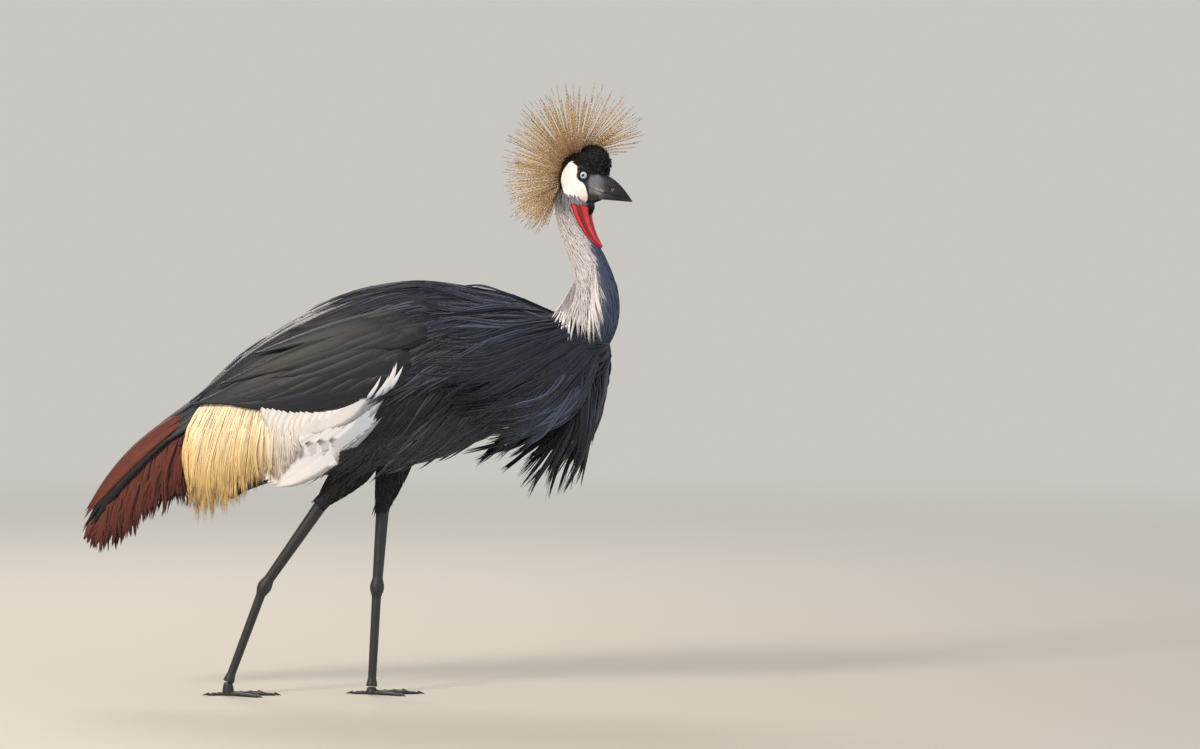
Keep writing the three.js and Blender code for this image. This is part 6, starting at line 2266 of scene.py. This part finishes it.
@dataclass(frozen=True)
class Studio:
    """A pale floor, soft light and a camera level with the bird, at the photograph's framing."""

    aim: tuple[float, float] = (444.0, 594.8)
    field: float = 2220.0
    distance: float = 12.0
    rise: float = 3.0
    floor_radius: float = 40.0
    around: int = 96
    pale: str = "#dedbd5"
    ambient: float = 0.8

    def floor(self) -> None:
        """A wide disc that meets the light background without an edge."""
        around = self.around
        turn = circle(around)
        rings = [np.zeros((1, 3))]
        radii = (0.6, 1.5, 4.0, 10.0, self.floor_radius)
        rings += [np.stack([r * np.cos(turn), r * np.sin(turn), 0 * turn], -1) for r in radii]
        spots = np.concatenate(rings)
        k = np.arange(around)
        k2 = (k + 1) % around
        faces = [np.stack([0 * k, 1 + k, 1 + k2], -1)]
        for a in range(1, 1 + around * (len(radii) - 1), around):
            b = a + around
            faces.append(np.stack([a + k, b + k, b + k2], -1))
            faces.append(np.stack([a + k, b + k2, a + k2], -1))
        made = mesh_object("studio_floor", spots, np.concatenate(faces))
        material, tree = new_material("paper_floor_matt")
        place = add_node(tree, "ShaderNodeTexCoord")
        away = add_node(tree, "ShaderNodeVectorMath", {0: place.outputs["Object"]}, operation="LENGTH")
        reach = {"Value": away.outputs["Value"], "From Min": 1.0, "From Max": 6.0}
        far = add_node(tree, "ShaderNodeMapRange", reach)
        grain = add_node(tree, "ShaderNodeTexNoise", {"Vector": place.outputs["Object"], "Scale": 300.0})
        relief = {"Height": grain.outputs["Fac"], "Strength": 0.05, "Distance": MM}
        bump = add_node(tree, "ShaderNodeBump", relief)
        paper = add_node(
            tree,
            "ShaderNodeBsdfPrincipled",
            {"Base Color": (*linear("#b9b6b0"), 1), "Roughness": 0.9, "Normal": bump.outputs["Normal"]},
        )
        pale = (*linear(self.pale), 1)
        glow = add_node(tree, "ShaderNodeEmission", {"Color": pale, "Strength": self.ambient})
        parts = {0: far.outputs["Result"], 1: paper.outputs["BSDF"], 2: glow.outputs["Emission"]}
        both = add_node(tree, "ShaderNodeMixShader", parts)
        add_node(tree, "ShaderNodeOutputMaterial", {"Surface": both.outputs["Shader"]})
        made.data.materials.append(material)

    def lamp(self, name: str, place: tuple[float, ...], size: float, watts: float, tone: str) -> None:
        """Hangs a soft square lamp that points at the bird's middle.

        Args:
            name: Its name.
            place: Where it hangs, in metres.
            size: Its width in metres.
            watts: Its power.
            tone: Its colour as sRGB hex.
        """
        data = bpy.data.lights.new(name, "AREA")
        data.size = size
        data.energy = watts
        data.color = linear(tone)
        made = bpy.data.objects.new(name, data)
        made.location = place
        made.rotation_euler = (Vector((0, 0, 0.6)) - Vector(place)).to_track_quat("-Z", "Y").to_euler()
        bpy.context.scene.collection.objects.link(made)

    def build(self) -> None:
        """Makes floor, lamps, background and camera."""
        self.floor()
        self.lamp("key_softbox", (-2.6, -3.0, 3.2), 1.2, 200, "#fff0da")
        self.lamp("front_fill", (3.2, -2.6, 1.6), 2.4, 30, "#dfe8ff")
        self.lamp("back_fill", (-1.0, 3.4, 3.0), 2.0, 110, "#fff6ea")
        world = bpy.data.worlds.new("studio_light")
        world.use_nodes = True
        back = world.node_tree.nodes["Background"]
        back.inputs["Color"].default_value = (*linear(self.pale), 1)
        back.inputs["Strength"].default_value = self.ambient
        bpy.context.scene.world = world
        camera = bpy.data.cameras.new("studio_camera")
        camera.sensor_width = 36.0
        camera.lens = camera.sensor_width * self.distance / (self.field * MM)
        camera.clip_end = 200.0
        made = bpy.data.objects.new("studio_camera", camera)
        aim = Vector(((self.aim[0] + ORIGIN[0]) * MM, ORIGIN[1] * MM, self.aim[1] * MM))
        angle = math.radians(self.rise)
        made.location = aim + self.distance * Vector((0, -math.cos(angle), math.sin(angle)))
        made.rotation_euler = (math.pi / 2 - angle, 0, 0)
        bpy.context.scene.collection.objects.link(made)
        bpy.context.scene.camera = made
        bpy.context.scene.view_settings.view_transform = "Standard"


def main() -> None:
    """Builds the bird round its solids, then the studio."""
    logging.basicConfig(level=logging.INFO, format="%(name)s: %(message)s")
    legs = Legs()
    skin = Skin()
    skin.build(legs)
    legs.build_claws()
    Plumage().build()
    legs.dress_thighs(FeatherFinish("thigh_feather_short", rough=0.6, contrast=0.3).make())
    Crest().build()
    HeadCoat().build(skin)
    Eyes().build()
    Bill().build()
    Wattle().build()
    Studio().build()


if __name__ == "__main__":
    main()
